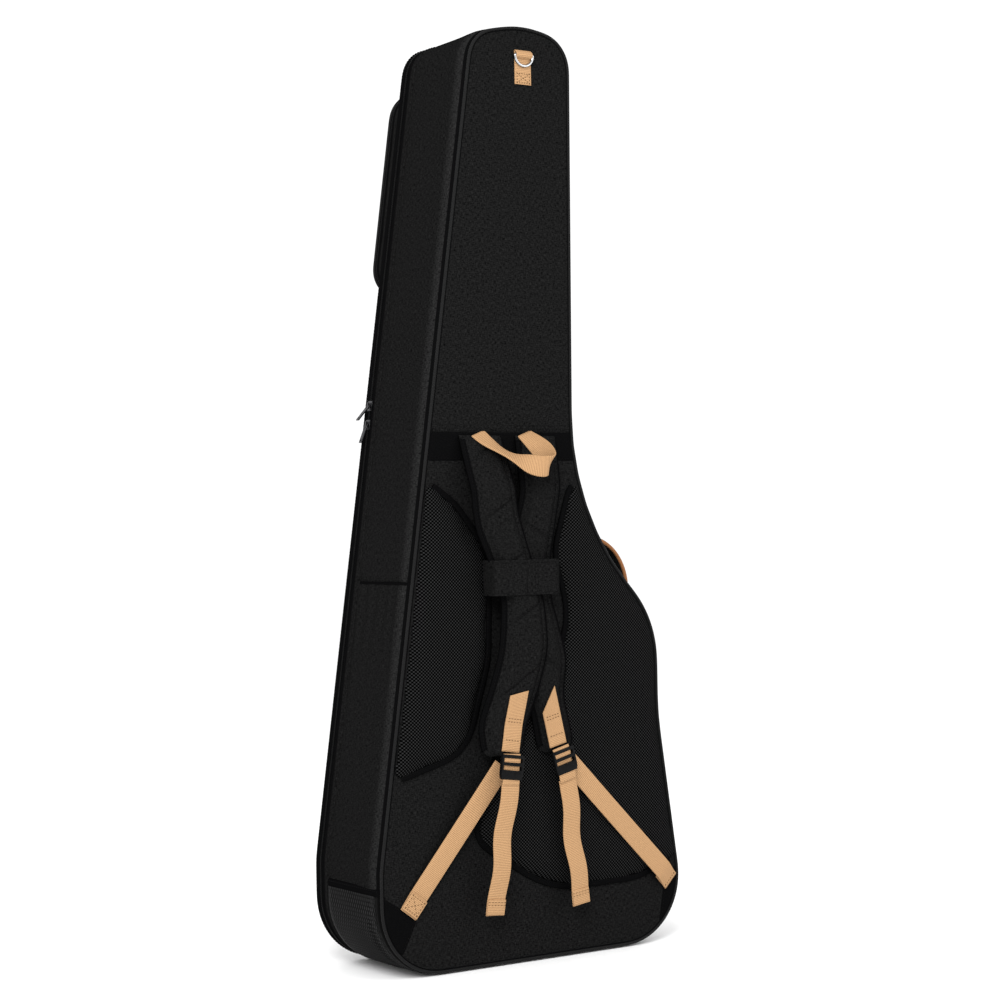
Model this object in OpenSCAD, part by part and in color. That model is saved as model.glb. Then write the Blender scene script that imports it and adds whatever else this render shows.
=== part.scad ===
// Padded gig bag for an acoustic guitar, standing on its base.
// Harness side faces -Y, lid and pockets face +Y, +Z is up.
// The origin is under the middle of the bag, on the surface it stands on.

/* [Body] */
// Height of the bag body above its base guard
body_h = 1116; // [1060:1:1180]
// Half the width of the lower bout
lower_half = 217; // [205:1:230]
// Depth of the body from the back cover to the lid
body_d = 150; // [140:1:160]
// Distance of the shoulder's side from the centre line
shoulder_x = 189; // [180:1:196]
// Height of the shoulder corner
shoulder_z = 401; // [380:1:415]
// Distance of the neck's right side from the centre line
neck_right = 62; // [56:1:68]
// Distance of the left top corner from the centre line
neck_left = 72; // [66:1:78]
// Height of the seam that the straps are sewn into
seam_z = 634; // [625:1:645]

/* [Walls] */
// Thickness of the outer fabric
skin_t = 1.4; // [1:0.1:1.8]
// Thickness of the wall foam
foam_t = 10; // [8:1:12]
// Thickness of the plush lining
lining_t = 1.2; // [0.8:0.1:1.4]
// Gap that separates neighbouring layers
gap = 0.3; // [0.2:0.05:0.4]
// Height of the base guard
guard_h = 108; // [90:1:120]
// Thickness of the base guard
guard_t = 4; // [3:0.5:5]

/* [Harness] */
// Width of the webbing
web_w = 25; // [23:1:27]
// Thickness of the webbing
web_t = 1.5; // [1.2:0.1:1.8]
// Thickness of a shoulder strap
strap_t = 13; // [10:1:13]
// Thickness of the mesh pads
mesh_t = 9; // [6:1:9]

/* [Lid pockets] */
// Depth of the pocket walls
pocket_d = 32; // [24:1:32]
// Thickness of a pocket cover
pocket_cover_t = 5; // [3:1:6]

/* [Hardware] */
// Radius of the ring's wire
ring_wire_r = 1.6; // [1.2:0.1:1.8]
// Radius of the ring's bow, to the middle of the wire
ring_bow_r = 13; // [12:0.5:14]
// Length of a zip pull
pull_l = 24; // [18:1:28]

/* [Hidden] */
eps = 1;
far = 2000;
black = [0.11, 0.11, 0.12];
charcoal = [0.17, 0.17, 0.18];
foam_grey = [0.35, 0.35, 0.37];
plush_grey = [0.42, 0.42, 0.44];
tan_web = [0.78, 0.60, 0.38];
steel = [0.75, 0.76, 0.78];

// The body outline is a closed run of corners [x, z, radius], counter-clockwise
// as seen from the harness side.
base_z = guard_t;
top_z = base_z + body_h;
BODY = [
    [-lower_half, base_z, 80],
    [lower_half + 12.2, base_z, 80],
    [shoulder_x, 285, 300],
    [shoulder_x, shoulder_z, 125],
    [neck_right, shoulder_z + 137, 300],
    [neck_right + 7, top_z - 10, 42],
    [0, top_z + 4, 130],
    [-neck_left, top_z - 11, 40],
    [-lower_half, 128, 60]
];
// The left side is one straight run, and the main zip's sliders follow it.
left_top = [-neck_left, top_z - 11];
left_foot = [-lower_half, 128];

// Raises of the harness layers in front of the back cover
pad_raise = mesh_t + gap;
right_raise = pad_raise + 1.7;
left_raise = right_raise + strap_t + 1;
loop_raise = left_raise + strap_t + 3.5;
loop_t = web_t + 1.5;

// Levels through the depth, from the harness side to the lid
reach_front = gap + pocket_d + pocket_cover_t + 0.4;
back_y = (loop_raise + loop_t - body_d - reach_front) / 2;
lid_y = back_y + body_d;
foam_y = back_y + skin_t + gap;
lining_y = foam_y + foam_t + gap;
cavity_y = lining_y + lining_t;
zip_y = lid_y - 21;
seam_y = lid_y - 13;
skirt_y = seam_y - 0.5;
lid_seam_y = seam_y + 0.4;
tape_end_y = lid_y - 6.3;
lining_inset = skin_t + foam_t + 2 * gap + 0.1;
cavity_inset = lining_inset + lining_t;

SLIDER_L = 12;
SLIDER_W = 9;
PLATE_T = 1.6;
// Points on the left side where the two main sliders rest
upper_slider_z = 671;
lower_slider_z = 648;

function turned(v) = [-v[1], v[0]];
function unit(v) = v / norm(v);
function wrap(list, i) = list[(i + len(list)) % len(list)];
function spot(c) = [c[0], c[1]];
function run_dir(list, i) = unit(spot(wrap(list, i + 1)) - spot(wrap(list, i)));
function rotated(v, a) = [v[0] * cos(a) - v[1] * sin(a), v[0] * sin(a) + v[1] * cos(a)];
// Corner i of a run moved inwards by t, with its radius following
function inset_corner(list, i, t) =
    let (n0 = turned(run_dir(list, i - 1)))
    let (n1 = turned(run_dir(list, i)))
    spot(wrap(list, i)) + t * (n0 + n1) / (1 + n0 * n1);
function turn_angle(d0, d1) = atan2(d0[0] * d1[1] - d0[1] * d1[0], d0 * d1);
// Arc that rounds corner i of a run moved inwards by t
function corner_arc(list, i, t) =
    let (d0 = run_dir(list, i - 1))
    let (a = turn_angle(d0, run_dir(list, i)))
    let (side = sign(a))
    let (r = max(0.5, wrap(list, i)[2] - side * t))
    let (start = inset_corner(list, i, t) - d0 * r * tan(abs(a) / 2))
    let (centre = start + turned(d0) * r * side)
    let (n = max(2, ceil(abs(a) / 8)))
    [for (k = [0:n]) centre + rotated(start - centre, a * k / n)];
function rounded(list, t = 0) = [for (i = [0:len(list) - 1]) each corner_arc(list, i, t)];
// A point on the left side at height z, moved outwards by out
function left_side(z, out = 0) =
    let (k = (z - left_foot[1]) / (left_top[1] - left_foot[1]))
    left_foot + k * (left_top - left_foot) + out * unit([left_foot[1] - left_top[1],
        left_top[0] - left_foot[0]]);
left_lean = atan2(left_top[0] - left_foot[0], left_top[1] - left_foot[1]);

// Solid between two levels of the depth, from an outline in the X-Z plane
module plate(points, y0, y1) {
    translate([0, y1, 0]) rotate([90, 0, 0]) linear_extrude(y1 - y0) polygon(points);
}
// Band that follows an outline, from inset t0 to inset t1
module band(list, t0, t1, y0, y1) {
    difference() {
        plate(rounded(list, t0), y0, y1);
        plate(rounded(list, t1), y0 - eps, y1 + eps);
    }
}
// Solid with a side profile in the Y-Z plane, given as [raise, z] from the back cover
module side_profile(points, x0, x1) {
    translate([x0, back_y, 0]) rotate([90, 0, 90]) linear_extrude(x1 - x0)
        polygon([for (p = points) [-p[0], p[1]]]);
}
// Sheet of thickness t that follows [raise, z] points, listed from the top down
module side_sheet(points, t, x0, x1) {
    side_profile(concat(points, [for (i = [len(points) - 1:-1:0]) points[i] + [t, 0]]), x0, x1);
}
// Strip of webbing between two points in the X-Z plane, cut square at both ends
function strip(a, b, w) =
    let (n = turned(unit(b - a)) * w / 2)
    [a + n, a - n, b - n, b + n];
module block(x0, x1, y0, y1, z0, z1) {
    translate([x0, y0, z0]) cube([x1 - x0, y1 - y0, z1 - z0]);
}
module above(z) { block(-far, far, -far, far, z, far); }
module below(z) { block(-far, far, -far, far, -far, z); }

// ---- Back ----
module back_cover(z0, z1) {
    intersection() {
        plate(rounded(BODY, 2.2), back_y, back_y + skin_t);
        block(-far, far, -far, far, z0, z1);
    }
}
module back_cover_upper() { color(black) back_cover(seam_z + 0.1, far); }
module back_cover_lower() { color(black) back_cover(-far, seam_z - 0.1); }
module back_foam() { color(foam_grey) plate(rounded(BODY, 2.2), foam_y, foam_y + foam_t); }
module back_lining() {
    color(plush_grey) plate(rounded(BODY, cavity_inset + gap), lining_y, cavity_y);
}
module back_piping() { color(charcoal) band(BODY, -2, 1.9, back_y - 2, back_y + 2.2); }

// ---- Gusset ----
gusset_seam_z = 457;
module gusset_skin() { band(BODY, 0, skin_t, back_y + 2.5, zip_y); }
module gusset_upper() {
    color(black) intersection() {
        gusset_skin();
        above(gusset_seam_z + 0.1);
    }
}
module gusset_lower() {
    color(black) intersection() {
        gusset_skin();
        below(gusset_seam_z - 0.1);
    }
}
module gusset_foam() {
    color(foam_grey) band(BODY, skin_t + gap, skin_t + gap + foam_t, lining_y, skirt_y);
}
module gusset_lining() {
    color(plush_grey) band(BODY, lining_inset, cavity_inset, lining_y, skirt_y);
}
module gusset_border() { color(black) band(BODY, -1.1, -gap, zip_y - 9, zip_y); }
// Stretch of the lower right side where the lid hangs on fabric and has no zip
module hinge_region(grow) {
    block(100, far, -far, far, guard_h + 4 - grow, 390 + grow);
}
module hinge_strip() {
    color(black) intersection() {
        band(BODY, -1.1, -gap, zip_y + gap, skirt_y);
        hinge_region(0);
    }
}
module body_zip_tape() {
    color(charcoal) difference() {
        band(BODY, 0, skin_t - 0.2, zip_y + gap, skirt_y);
        hinge_region(4);
    }
}
module base_guard() {
    color(black) intersection() {
        band(BODY, -guard_t, -gap, back_y + 3, zip_y - 9.5);
        below(guard_h);
    }
}

// ---- Harness panel ----
PATCH_L = [[-260, 126, 1], [-260, -30, 1], [-190, 30, 4], [-171, 68, 3], [-195, 85, 3]];
PATCH_R = [[260, 134, 1], [203, 84, 3], [193, 68, 3], [186, 26, 4], [260, -30, 1]];
module corner_patch(list) {
    color(charcoal) intersection() {
        plate(rounded(list), back_y - 1.3, back_y - gap);
        plate(rounded(BODY, 2.4), back_y - 2, back_y);
    }
}
module corner_patch_left() { corner_patch(PATCH_L); }
module corner_patch_right() { corner_patch(PATCH_R); }

MESH_L = [
    [-260, 250, 5], [-200, 230, 60], [-99, 258, 60], [-66, 365, 90], [-62, 490, 60],
    [-108, 548, 60], [-142, 572, 30], [-260, 600, 5]
];
MESH_R = [
    [260, 118, 5], [150, 86, 60], [20, 84, 150], [-92, 155, 30], [-50, 262, 60],
    [60, 395, 90], [34, 490, 60], [56, 560, 20], [70, 580, 10], [260, 500, 5]
];
module mesh_pad(list) {
    color(charcoal) intersection() {
        plate(rounded(list), back_y - pad_raise, back_y - gap);
        plate(rounded(BODY, 8), back_y - far, back_y);
    }
}
module mesh_pad_left() { mesh_pad(MESH_L); }
module mesh_pad_right() { mesh_pad(MESH_R); }
module strap_yoke() {
    color(charcoal) intersection() {
        plate(rounded(BODY, 3), back_y - 1.5, back_y - gap);
        block(-far, far, -far, far, 600, seam_z);
    }
}

// ---- Shoulder straps: curved pads that end in a ladder-lock buckle ----
STRAP_L = [
    [-89, 252, 14], [-34, 252, 14], [-27, 285, 60], [4, 375, 90], [-1, 430, 60],
    [-38, 540, 100], [-44, 631, 1], [-103, 631, 1], [-102, 520, 80], [-70, 432, 60],
    [-66, 375, 120], [-94, 290, 60]
];
STRAP_R = [
    [-2, 250, 14], [44, 250, 10], [47, 266, 20], [34, 318, 60], [41, 362, 60],
    [19, 436, 60], [18, 480, 90], [36, 570, 90], [36, 631, 1], [-22, 631, 1],
    [-21, 560, 80], [-44, 490, 80], [-47, 436, 80], [-36, 372, 120], [-10, 292, 80]
];
// A strap leaves the seam thin and flat, and reaches its full thickness at z 565
module strap_pad(list, raise, foot_raise) {
    inner = [[2.2, 630.5], [raise, 565], [raise, 330], [foot_raise, 290], [foot_raise, 240]];
    outer = [
        [foot_raise + strap_t, 240], [foot_raise + strap_t, 290], [raise + strap_t, 330],
        [raise + strap_t, 565], [16, 612], [4.4, 630.5]
    ];
    color(black) intersection() {
        plate(rounded(list), back_y - 80, back_y);
        side_profile(concat(inner, outer), -200, 200);
    }
}
left_foot_raise = left_raise - 5;
module shoulder_strap_left() { strap_pad(STRAP_L, left_raise, left_foot_raise); }
module shoulder_strap_right() { strap_pad(STRAP_R, right_raise, right_raise); }

// A run of webbing between two points, that follows [raise, z] points listed from the top down
module web_run(a, b, points) {
    color(tan_web) intersection() {
        plate(strip(a, b, web_w), back_y - 80, back_y);
        side_sheet(points, web_t, -far, far);
    }
}
// Webbing sewn to the lower end of each strap
module sewn_web(a, b, raise, foot_raise) {
    face = strap_t + gap;
    web_run(a, b, [[raise + face, 345], [raise + face, 330], [foot_raise + face, 290],
        [foot_raise + face, 240]]);
}
module sewn_web_left() { sewn_web([-46, 330], [-58, 257], left_raise, left_foot_raise); }
module sewn_web_right() { sewn_web([2, 328], [18, 259], right_raise, right_raise); }

// Ladder-lock buckles hang from the sewn webbing
BUCKLE_W = 31;
BUCKLE_H = 28;
BUCKLE_T = 5;
buckle_l_at = [-59, 240];
buckle_r_at = [24, 241];
buckle_l_raise = left_foot_raise + strap_t + web_t + 1;
buckle_r_raise = right_raise + strap_t + web_t + 1;
module buckle(at, raise, lean) {
    color(black) translate([at[0], back_y - raise - BUCKLE_T, at[1]]) rotate([0, lean, 0])
        difference() {
            union() {
                block(-BUCKLE_W / 2, BUCKLE_W / 2, 0, BUCKLE_T, -8, BUCKLE_H / 2);
                translate([0, BUCKLE_T, -8]) rotate([90, 0, 0]) intersection() {
                    cylinder(r = BUCKLE_W / 2, h = BUCKLE_T, $fn = 48);
                    translate([-BUCKLE_W / 2, -7, 0]) cube([BUCKLE_W, 9, BUCKLE_T]);
                }
            }
            for (z = [5, -4]) block(-13, 13, -eps, BUCKLE_T + eps, z, z + 5);
        }
}
module buckle_left() { buckle(buckle_l_at, buckle_l_raise, 8); }
module buckle_right() { buckle(buckle_r_at, buckle_r_raise, -14); }

// Webbing from each buckle down to the corner patch
module anchor_web_left() {
    web_run([-70, 228], [-184, 76], [[20, 245], [20, 232], [2, 92], [2, 50]]);
}
module anchor_web_right() {
    web_run([48, 226], [205, 75], [[18, 245], [18, 232], [pad_raise + 1, 91], [2, 76], [2, 50]]);
}
// Free tails that hang from the buckles
module tail_web_left() {
    web_run([-61, 220], [-77, 66], [[buckle_l_raise + 1, 240], [buckle_l_raise + 1, 215],
        [22, 62], [22, 50]]);
}
module tail_web_right() {
    web_run([29, 218], [51, 65], [[buckle_r_raise, 240], [buckle_r_raise, 215], [20, 62],
        [20, 50]]);
}
// Band that holds both straps together
BAND_Z = [440, 483];
module keeper_band() {
    front = left_raise + strap_t + 0.5;
    outer = [
        [-93, -pad_raise - 0.2], [25, -pad_raise - 0.2], [25, -right_raise - strap_t],
        [9, -front - 1.6], [-93, -front - 1.6]
    ];
    inner = [
        [-91.4, -pad_raise - 1.2], [23.6, -pad_raise - 1.2],
        [23.6, -right_raise - strap_t + 0.4], [8.4, -front], [-91.4, -front]
    ];
    color(black) difference() {
        translate([0, back_y, BAND_Z[0]]) linear_extrude(BAND_Z[1] - BAND_Z[0]) polygon(outer);
        translate([0, back_y, BAND_Z[0] - eps]) linear_extrude(BAND_Z[1] - BAND_Z[0] + 2 * eps)
            polygon(inner);
    }
}

// ---- Haul loop, hung from the strap seam ----
LOOP_X = [-75, -6];
module haul_loop() {
    outer = [[LOOP_X[0] - 12.5, 633, 1], [-72, 560, 46], [32, 568, 34], [LOOP_X[1] + 12.5, 633, 1]];
    inner = [[LOOP_X[0] + 12.5, 640, 1], [-44, 586, 20], [3, 590, 14], [LOOP_X[1] - 12.5, 640, 1]];
    color(tan_web) intersection() {
        difference() {
            plate(rounded(outer), back_y - 80, back_y);
            plate(rounded(inner), back_y - 81, back_y + 1);
        }
        side_sheet([[2, 633], [2, 632.5], [loop_raise, 604], [loop_raise, 540]], loop_t, -200, 200);
    }
}

// ---- Hang tab and ring ----
ring_z = 1088;
ring_y = back_y - 4.4;
module hang_tab() {
    color(tan_web) difference() {
        union() {
            block(-12, 12, back_y - 2.6, back_y - gap, 1053, ring_z);
            translate([-10.5, ring_y, ring_z]) rotate([0, 90, 0])
                cylinder(r = 3.4, h = 21, $fn = 40);
        }
        translate([-13, ring_y, ring_z]) rotate([0, 90, 0])
            cylinder(r = ring_wire_r + 0.15, h = 26, $fn = 40);
    }
}
module d_ring() {
    color(steel) translate([0, ring_y, ring_z]) {
        rotate([0, 90, 0]) translate([0, 0, -ring_bow_r])
            cylinder(r = ring_wire_r, h = 2 * ring_bow_r, $fn = 40);
        rotate([-90, 0, 0]) rotate_extrude(angle = 180, $fn = 64)
            translate([ring_bow_r, 0]) circle(r = ring_wire_r, $fn = 32);
    }
}

// ---- Side handle on the right shoulder ----
handle_a = [104, 499];
handle_b = [176, 403];
handle_y = -3;
handle_mid = (handle_a + handle_b) / 2;
handle_half = norm(handle_b - handle_a) / 2;
handle_rise = 46;
handle_r = (pow(handle_half, 2) + pow(handle_rise, 2)) / (2 * handle_rise);
handle_lean = atan2(handle_b[1] - handle_a[1], handle_b[0] - handle_a[0]);
module handle_frame() {
    translate([handle_mid[0], handle_y, handle_mid[1]]) rotate([0, -handle_lean, 0]) children();
}
module side_handle() {
    color(black) handle_frame() intersection() {
        translate([0, 16, handle_rise - handle_r]) rotate([90, 0, 0]) difference() {
            cylinder(r = handle_r, h = 32, $fn = 96);
            translate([0, 0, -eps]) cylinder(r = handle_r - 7, h = 32 + 2 * eps, $fn = 96);
        }
        block(-100, 100, -40, 40, 10, 100);
    }
}
module handle_tabs() {
    color(black) intersection() {
        band(BODY, -1.5, -gap, handle_y - 17, handle_y + 17);
        handle_frame() for (s = [-1, 1]) block(s * handle_half - 11, s * handle_half + 11,
            -20, 20, -25, 25);
    }
}

// ---- Padding inside ----
module neck_cradle() {
    color(foam_grey) difference() {
        block(-93, 45, cavity_y + gap, -6, 800, 860);
        translate([-8, -6, 790]) cylinder(r = 30, h = 80, $fn = 64);
    }
}
module neck_strap() { color(black) block(-52, 36, -5.6, -4.1, 817, 843); }
module head_pad() {
    color(foam_grey) block(-38, 34, cavity_y + gap, 20, top_z - 54, top_z - 30);
}
module tail_pad() {
    color(foam_grey) block(-60, 60, cavity_y + gap, 58, base_z + cavity_inset + gap, 38);
}

// ---- Lid ----
module lid_cover() { color(black) plate(rounded(BODY), lid_y - skin_t, lid_y); }
module lid_rim() { color(black) band(BODY, 0, skin_t, tape_end_y + gap, lid_y - skin_t - gap); }
module lid_foam() {
    color(foam_grey) plate(rounded(BODY, skin_t + 2 * gap), lid_seam_y + lining_t + gap,
        lid_y - skin_t - gap);
}
module lid_lining() {
    color(plush_grey) plate(rounded(BODY, skin_t + 2 * gap), lid_seam_y, lid_seam_y + lining_t);
}
module lid_zip_tape() { color(charcoal) band(BODY, 0, skin_t - 0.2, lid_seam_y, tape_end_y); }

// ---- Pockets on the lid ----
NECK_POCKET = [[-105, 812, 30], [54, 812, 30], [54, 1068, 40], [-68, 1068, 40]];
BODY_POCKET = [
    [-178, 46, 55], [178, 46, 55], [152, 300, 200], [152, 380, 60], [100, 440, 50],
    [-134, 440, 50]
];
pocket_y = lid_y + gap;
cover_y = pocket_y + pocket_d;
module pocket_wall(list) { color(black) band(list, 0, 2, pocket_y, cover_y - 0.2); }
module pocket_zip(list) { color(charcoal) band(list, -0.9, -0.2, cover_y - 8, cover_y - 2); }
module pocket_cover(list) {
    color(black) plate(rounded(list), cover_y + 0.2, cover_y + pocket_cover_t + 0.4);
}
module neck_pocket_wall() { pocket_wall(NECK_POCKET); }
module neck_pocket_zip() { pocket_zip(NECK_POCKET); }
module neck_pocket_cover() { pocket_cover(NECK_POCKET); }
module body_pocket_wall() { pocket_wall(BODY_POCKET); }
module body_pocket_zip() { pocket_zip(BODY_POCKET); }
module body_pocket_cover() { pocket_cover(BODY_POCKET); }

// ---- Zip sliders and pulls, drawn with the zip running along +X and its face on +Z ----
module slider() {
    color(steel) {
        block(-SLIDER_L / 2, SLIDER_L / 2, -SLIDER_W / 2, SLIDER_W / 2, 0, PLATE_T);
        difference() {
            block(-4, 4, -1.2, 1.2, PLATE_T, PLATE_T + 3.4);
            translate([0, 5, PLATE_T + 1.5]) rotate([90, 0, 0]) cylinder(r = 0.95, h = 10, $fn = 32);
        }
    }
}
// The pull turns about the pin at its head and lies along -X
module pull() {
    color(steel) difference() {
        union() {
            translate([-pull_l, -3, -0.7]) cube([pull_l - 5, 6, 1.4]);
            for (s = [-1, 1]) translate([-5.5, s * 2.6 - 0.8, -0.7]) cube([6, 1.6, 1.4]);
            translate([0, 3.4, 0]) rotate([90, 0, 0]) cylinder(r = 0.8, h = 6.8, $fn = 32);
        }
        translate([-pull_l + 3, 0, -2]) cylinder(r = 1.3, h = 4, $fn = 32);
    }
}
// Places a slider's parts on the bag's left side: +X runs up the zip, +Z points outwards
module on_left_side(z, out) {
    p = left_side(z, out);
    translate([p[0], seam_y + 0.2, p[1]]) rotate([0, left_lean - 90, 0]) children();
}
slider_out = 0.6;
pin_out = slider_out + PLATE_T + 1.5;
module main_slider_upper() { on_left_side(upper_slider_z, slider_out) slider(); }
module main_slider_lower() { on_left_side(lower_slider_z, slider_out) slider(); }
module main_pull(z, swing) { on_left_side(z, pin_out) rotate([0, swing, 0]) pull(); }
module main_pull_upper() { main_pull(upper_slider_z, 34); }
module main_pull_lower() { main_pull(lower_slider_z, 14); }
// Neck pocket: the zip runs up its right wall
neck_slider_at = [54 + 1.5, cover_y - 5, 860];
module on_right_wall(out) {
    translate(neck_slider_at + [out, 0, 0]) rotate([0, 90, 0]) rotate([0, 0, 180]) children();
}
module neck_pocket_slider() { on_right_wall(0) slider(); }
module neck_pocket_pull() { on_right_wall(PLATE_T + 1.5) rotate([0, 8, 0]) pull(); }
// Body pocket: the zip runs along its top wall
body_slider_at = [62, cover_y - 5, 440 + 1.5];
module on_top_wall(out) { translate(body_slider_at + [0, 0, out]) children(); }
module body_pocket_slider() { on_top_wall(0) slider(); }
module body_pocket_pull() { on_top_wall(PLATE_T + 1.5) rotate([0, 4, 0]) pull(); }

back_cover_upper();
back_cover_lower();
back_foam();
back_lining();
back_piping();
gusset_upper();
gusset_lower();
gusset_foam();
gusset_lining();
gusset_border();
body_zip_tape();
hinge_strip();
base_guard();
corner_patch_left();
corner_patch_right();
mesh_pad_left();
mesh_pad_right();
strap_yoke();
shoulder_strap_left();
shoulder_strap_right();
sewn_web_left();
sewn_web_right();
anchor_web_left();
anchor_web_right();
tail_web_left();
tail_web_right();
keeper_band();
hang_tab();
handle_tabs();
neck_cradle();
neck_strap();
head_pad();
tail_pad();
buckle_left();
buckle_right();
d_ring();
haul_loop();
side_handle();
lid_cover();
lid_rim();
lid_foam();
lid_lining();
lid_zip_tape();
neck_pocket_wall();
neck_pocket_zip();
neck_pocket_cover();
neck_pocket_slider();
neck_pocket_pull();
body_pocket_wall();
body_pocket_zip();
body_pocket_cover();
body_pocket_slider();
body_pocket_pull();
main_slider_upper();
main_pull_upper();
main_slider_lower();
main_pull_lower();
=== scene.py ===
import math

import bpy
import numpy as np
from bpy.props import FloatProperty, FloatVectorProperty, PointerProperty
from mathutils import Matrix, Vector


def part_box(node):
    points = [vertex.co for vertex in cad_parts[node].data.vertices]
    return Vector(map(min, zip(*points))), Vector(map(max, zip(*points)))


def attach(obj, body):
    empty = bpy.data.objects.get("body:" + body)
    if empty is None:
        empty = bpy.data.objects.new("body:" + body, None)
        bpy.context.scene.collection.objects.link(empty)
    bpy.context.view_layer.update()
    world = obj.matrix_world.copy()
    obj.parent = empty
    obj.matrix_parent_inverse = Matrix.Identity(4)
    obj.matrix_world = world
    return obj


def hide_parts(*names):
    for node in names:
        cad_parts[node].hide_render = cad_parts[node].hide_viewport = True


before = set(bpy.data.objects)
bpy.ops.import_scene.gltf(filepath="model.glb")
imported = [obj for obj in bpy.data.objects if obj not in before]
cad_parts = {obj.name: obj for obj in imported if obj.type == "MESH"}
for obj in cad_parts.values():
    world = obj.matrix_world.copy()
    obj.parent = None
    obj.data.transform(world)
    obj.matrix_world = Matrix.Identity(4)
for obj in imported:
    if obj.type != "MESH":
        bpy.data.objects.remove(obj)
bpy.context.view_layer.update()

bl_info = {
    "name": "Padded Gig Bag",
    "version": (1, 0, 0),
    "blender": (4, 5, 0),
    "location": "View3D > Sidebar > Gig Bag",
    "description": "Sews the fabric, padding, webbing and hardware of a guitar gig bag over its frame",
    "category": "Object",
}

MM = 0.001
MERGE = 0.02 * MM  # Points closer than this are one point
X, Y, Z = 0, 1, 2
TAU = 2 * math.pi
BACK = -1  # The harness side faces -Y
FRONT = 1  # The lid side faces +Y


# ---- What the frame says ----

def low(node, axis):
    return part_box(node)[0][axis]


def high(node, axis):
    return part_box(node)[1][axis]


def places_of(mesh):
    """The places of a mesh's vertices, one row each."""
    places = np.empty(len(mesh.vertices) * 3)
    mesh.vertices.foreach_get("co", places)
    return places.reshape(-1, 3)


def corners_of(node):
    """Vertices and triangles of a CAD node as arrays."""
    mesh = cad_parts[node].data
    mesh.calc_loop_triangles()
    triangles = np.empty(len(mesh.loop_triangles) * 3, dtype=int)
    mesh.loop_triangles.foreach_get("vertices", triangles)
    return places_of(mesh), triangles.reshape(-1, 3)


def face_loop(node, axis, highest):
    """The longest edge loop round a node's flat end face, in the other two axes."""
    places, triangles = corners_of(node)
    level = places[:, axis].max() if highest else places[:, axis].min()
    flat = np.abs(places[triangles][:, :, axis] - level).max(axis=1) < MERGE / 2
    others = [k for k in (X, Y, Z) if k != axis]
    keys = [tuple(k) for k in np.round(places[:, others] / (0.002 * MM)).astype(int)]
    spot = {keys[i]: places[i, others] for i in range(len(keys))}
    edges = set()
    for a, b, c in triangles[flat]:
        edges |= {(keys[a], keys[b]), (keys[b], keys[c]), (keys[c], keys[a])}
    onward = {a: b for a, b in edges if (b, a) not in edges and a != b}
    loops = []
    while onward:
        here, onward_to = onward.popitem()
        loop = [here]
        while onward_to in onward:
            loop.append(onward_to)
            onward_to = onward.pop(onward_to)
        loops.append(np.array([spot[k] for k in loop]))
    longest = max(loops, key=lambda run: np.linalg.norm(np.diff(run, axis=0), axis=1).sum())
    ahead = np.roll(longest, -1, axis=0)
    area = (longest[:, 0] * ahead[:, 1] - ahead[:, 0] * longest[:, 1]).sum()
    return longest if area > 0 else longest[::-1]


def slices(node, heights):
    """Lowest and highest X and Y of a node at each height."""
    places, triangles = corners_of(node)
    a = places[triangles].reshape(-1, 3)
    b = places[np.roll(triangles, -1, axis=1)].reshape(-1, 3)
    found = []
    for z in heights:
        over = (a[:, Z] - z) * (b[:, Z] - z) <= 0
        run = np.where(over & (a[:, Z] != b[:, Z]))[0]
        part = (z - a[run, Z]) / (b[run, Z] - a[run, Z])
        cut = a[run] + part[:, None] * (b[run] - a[run])
        found.append([cut[:, X].min(), cut[:, X].max(), cut[:, Y].min(), cut[:, Y].max()])
    return np.array(found).T


# ---- Runs of points ----

def spread(run, step, closed=False):
    """The run with even spacing of about step."""
    run = np.asarray(run, float)
    if closed:
        run = np.vstack([run, run[:1]])
    along = lengths_along(run)
    count = max(3, int(round(along[-1] / step)))
    even = np.linspace(0, along[-1], count, endpoint=not closed)
    return np.stack([np.interp(even, along, run[:, k]) for k in range(run.shape[1])], axis=1)


def softened(run, passes, closed=False):
    """The run with its corners rounded off, ends kept."""
    run = run.copy()
    for _ in range(passes):
        if closed:
            run = (np.roll(run, 1, axis=0) + 2 * run + np.roll(run, -1, axis=0)) / 4
        else:
            run[1:-1] = (run[:-2] + 2 * run[1:-1] + run[2:]) / 4
    return run


def profile_through(knots, step, passes):
    """A rim's profile from knots of how far outwards, in millimetres, and at which level."""
    return softened(spread([(out * MM, level) for out, level in knots], step), passes)


def lengths_along(run):
    """How far along the run each of its points lies."""
    return np.concatenate([[0], np.cumsum(np.linalg.norm(np.diff(run, axis=0), axis=1))])


def unit(vectors):
    """The vectors drawn to a length of 1."""
    size = np.linalg.norm(vectors, axis=-1, keepdims=True)
    return vectors / np.maximum(size, 1e-12)


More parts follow.
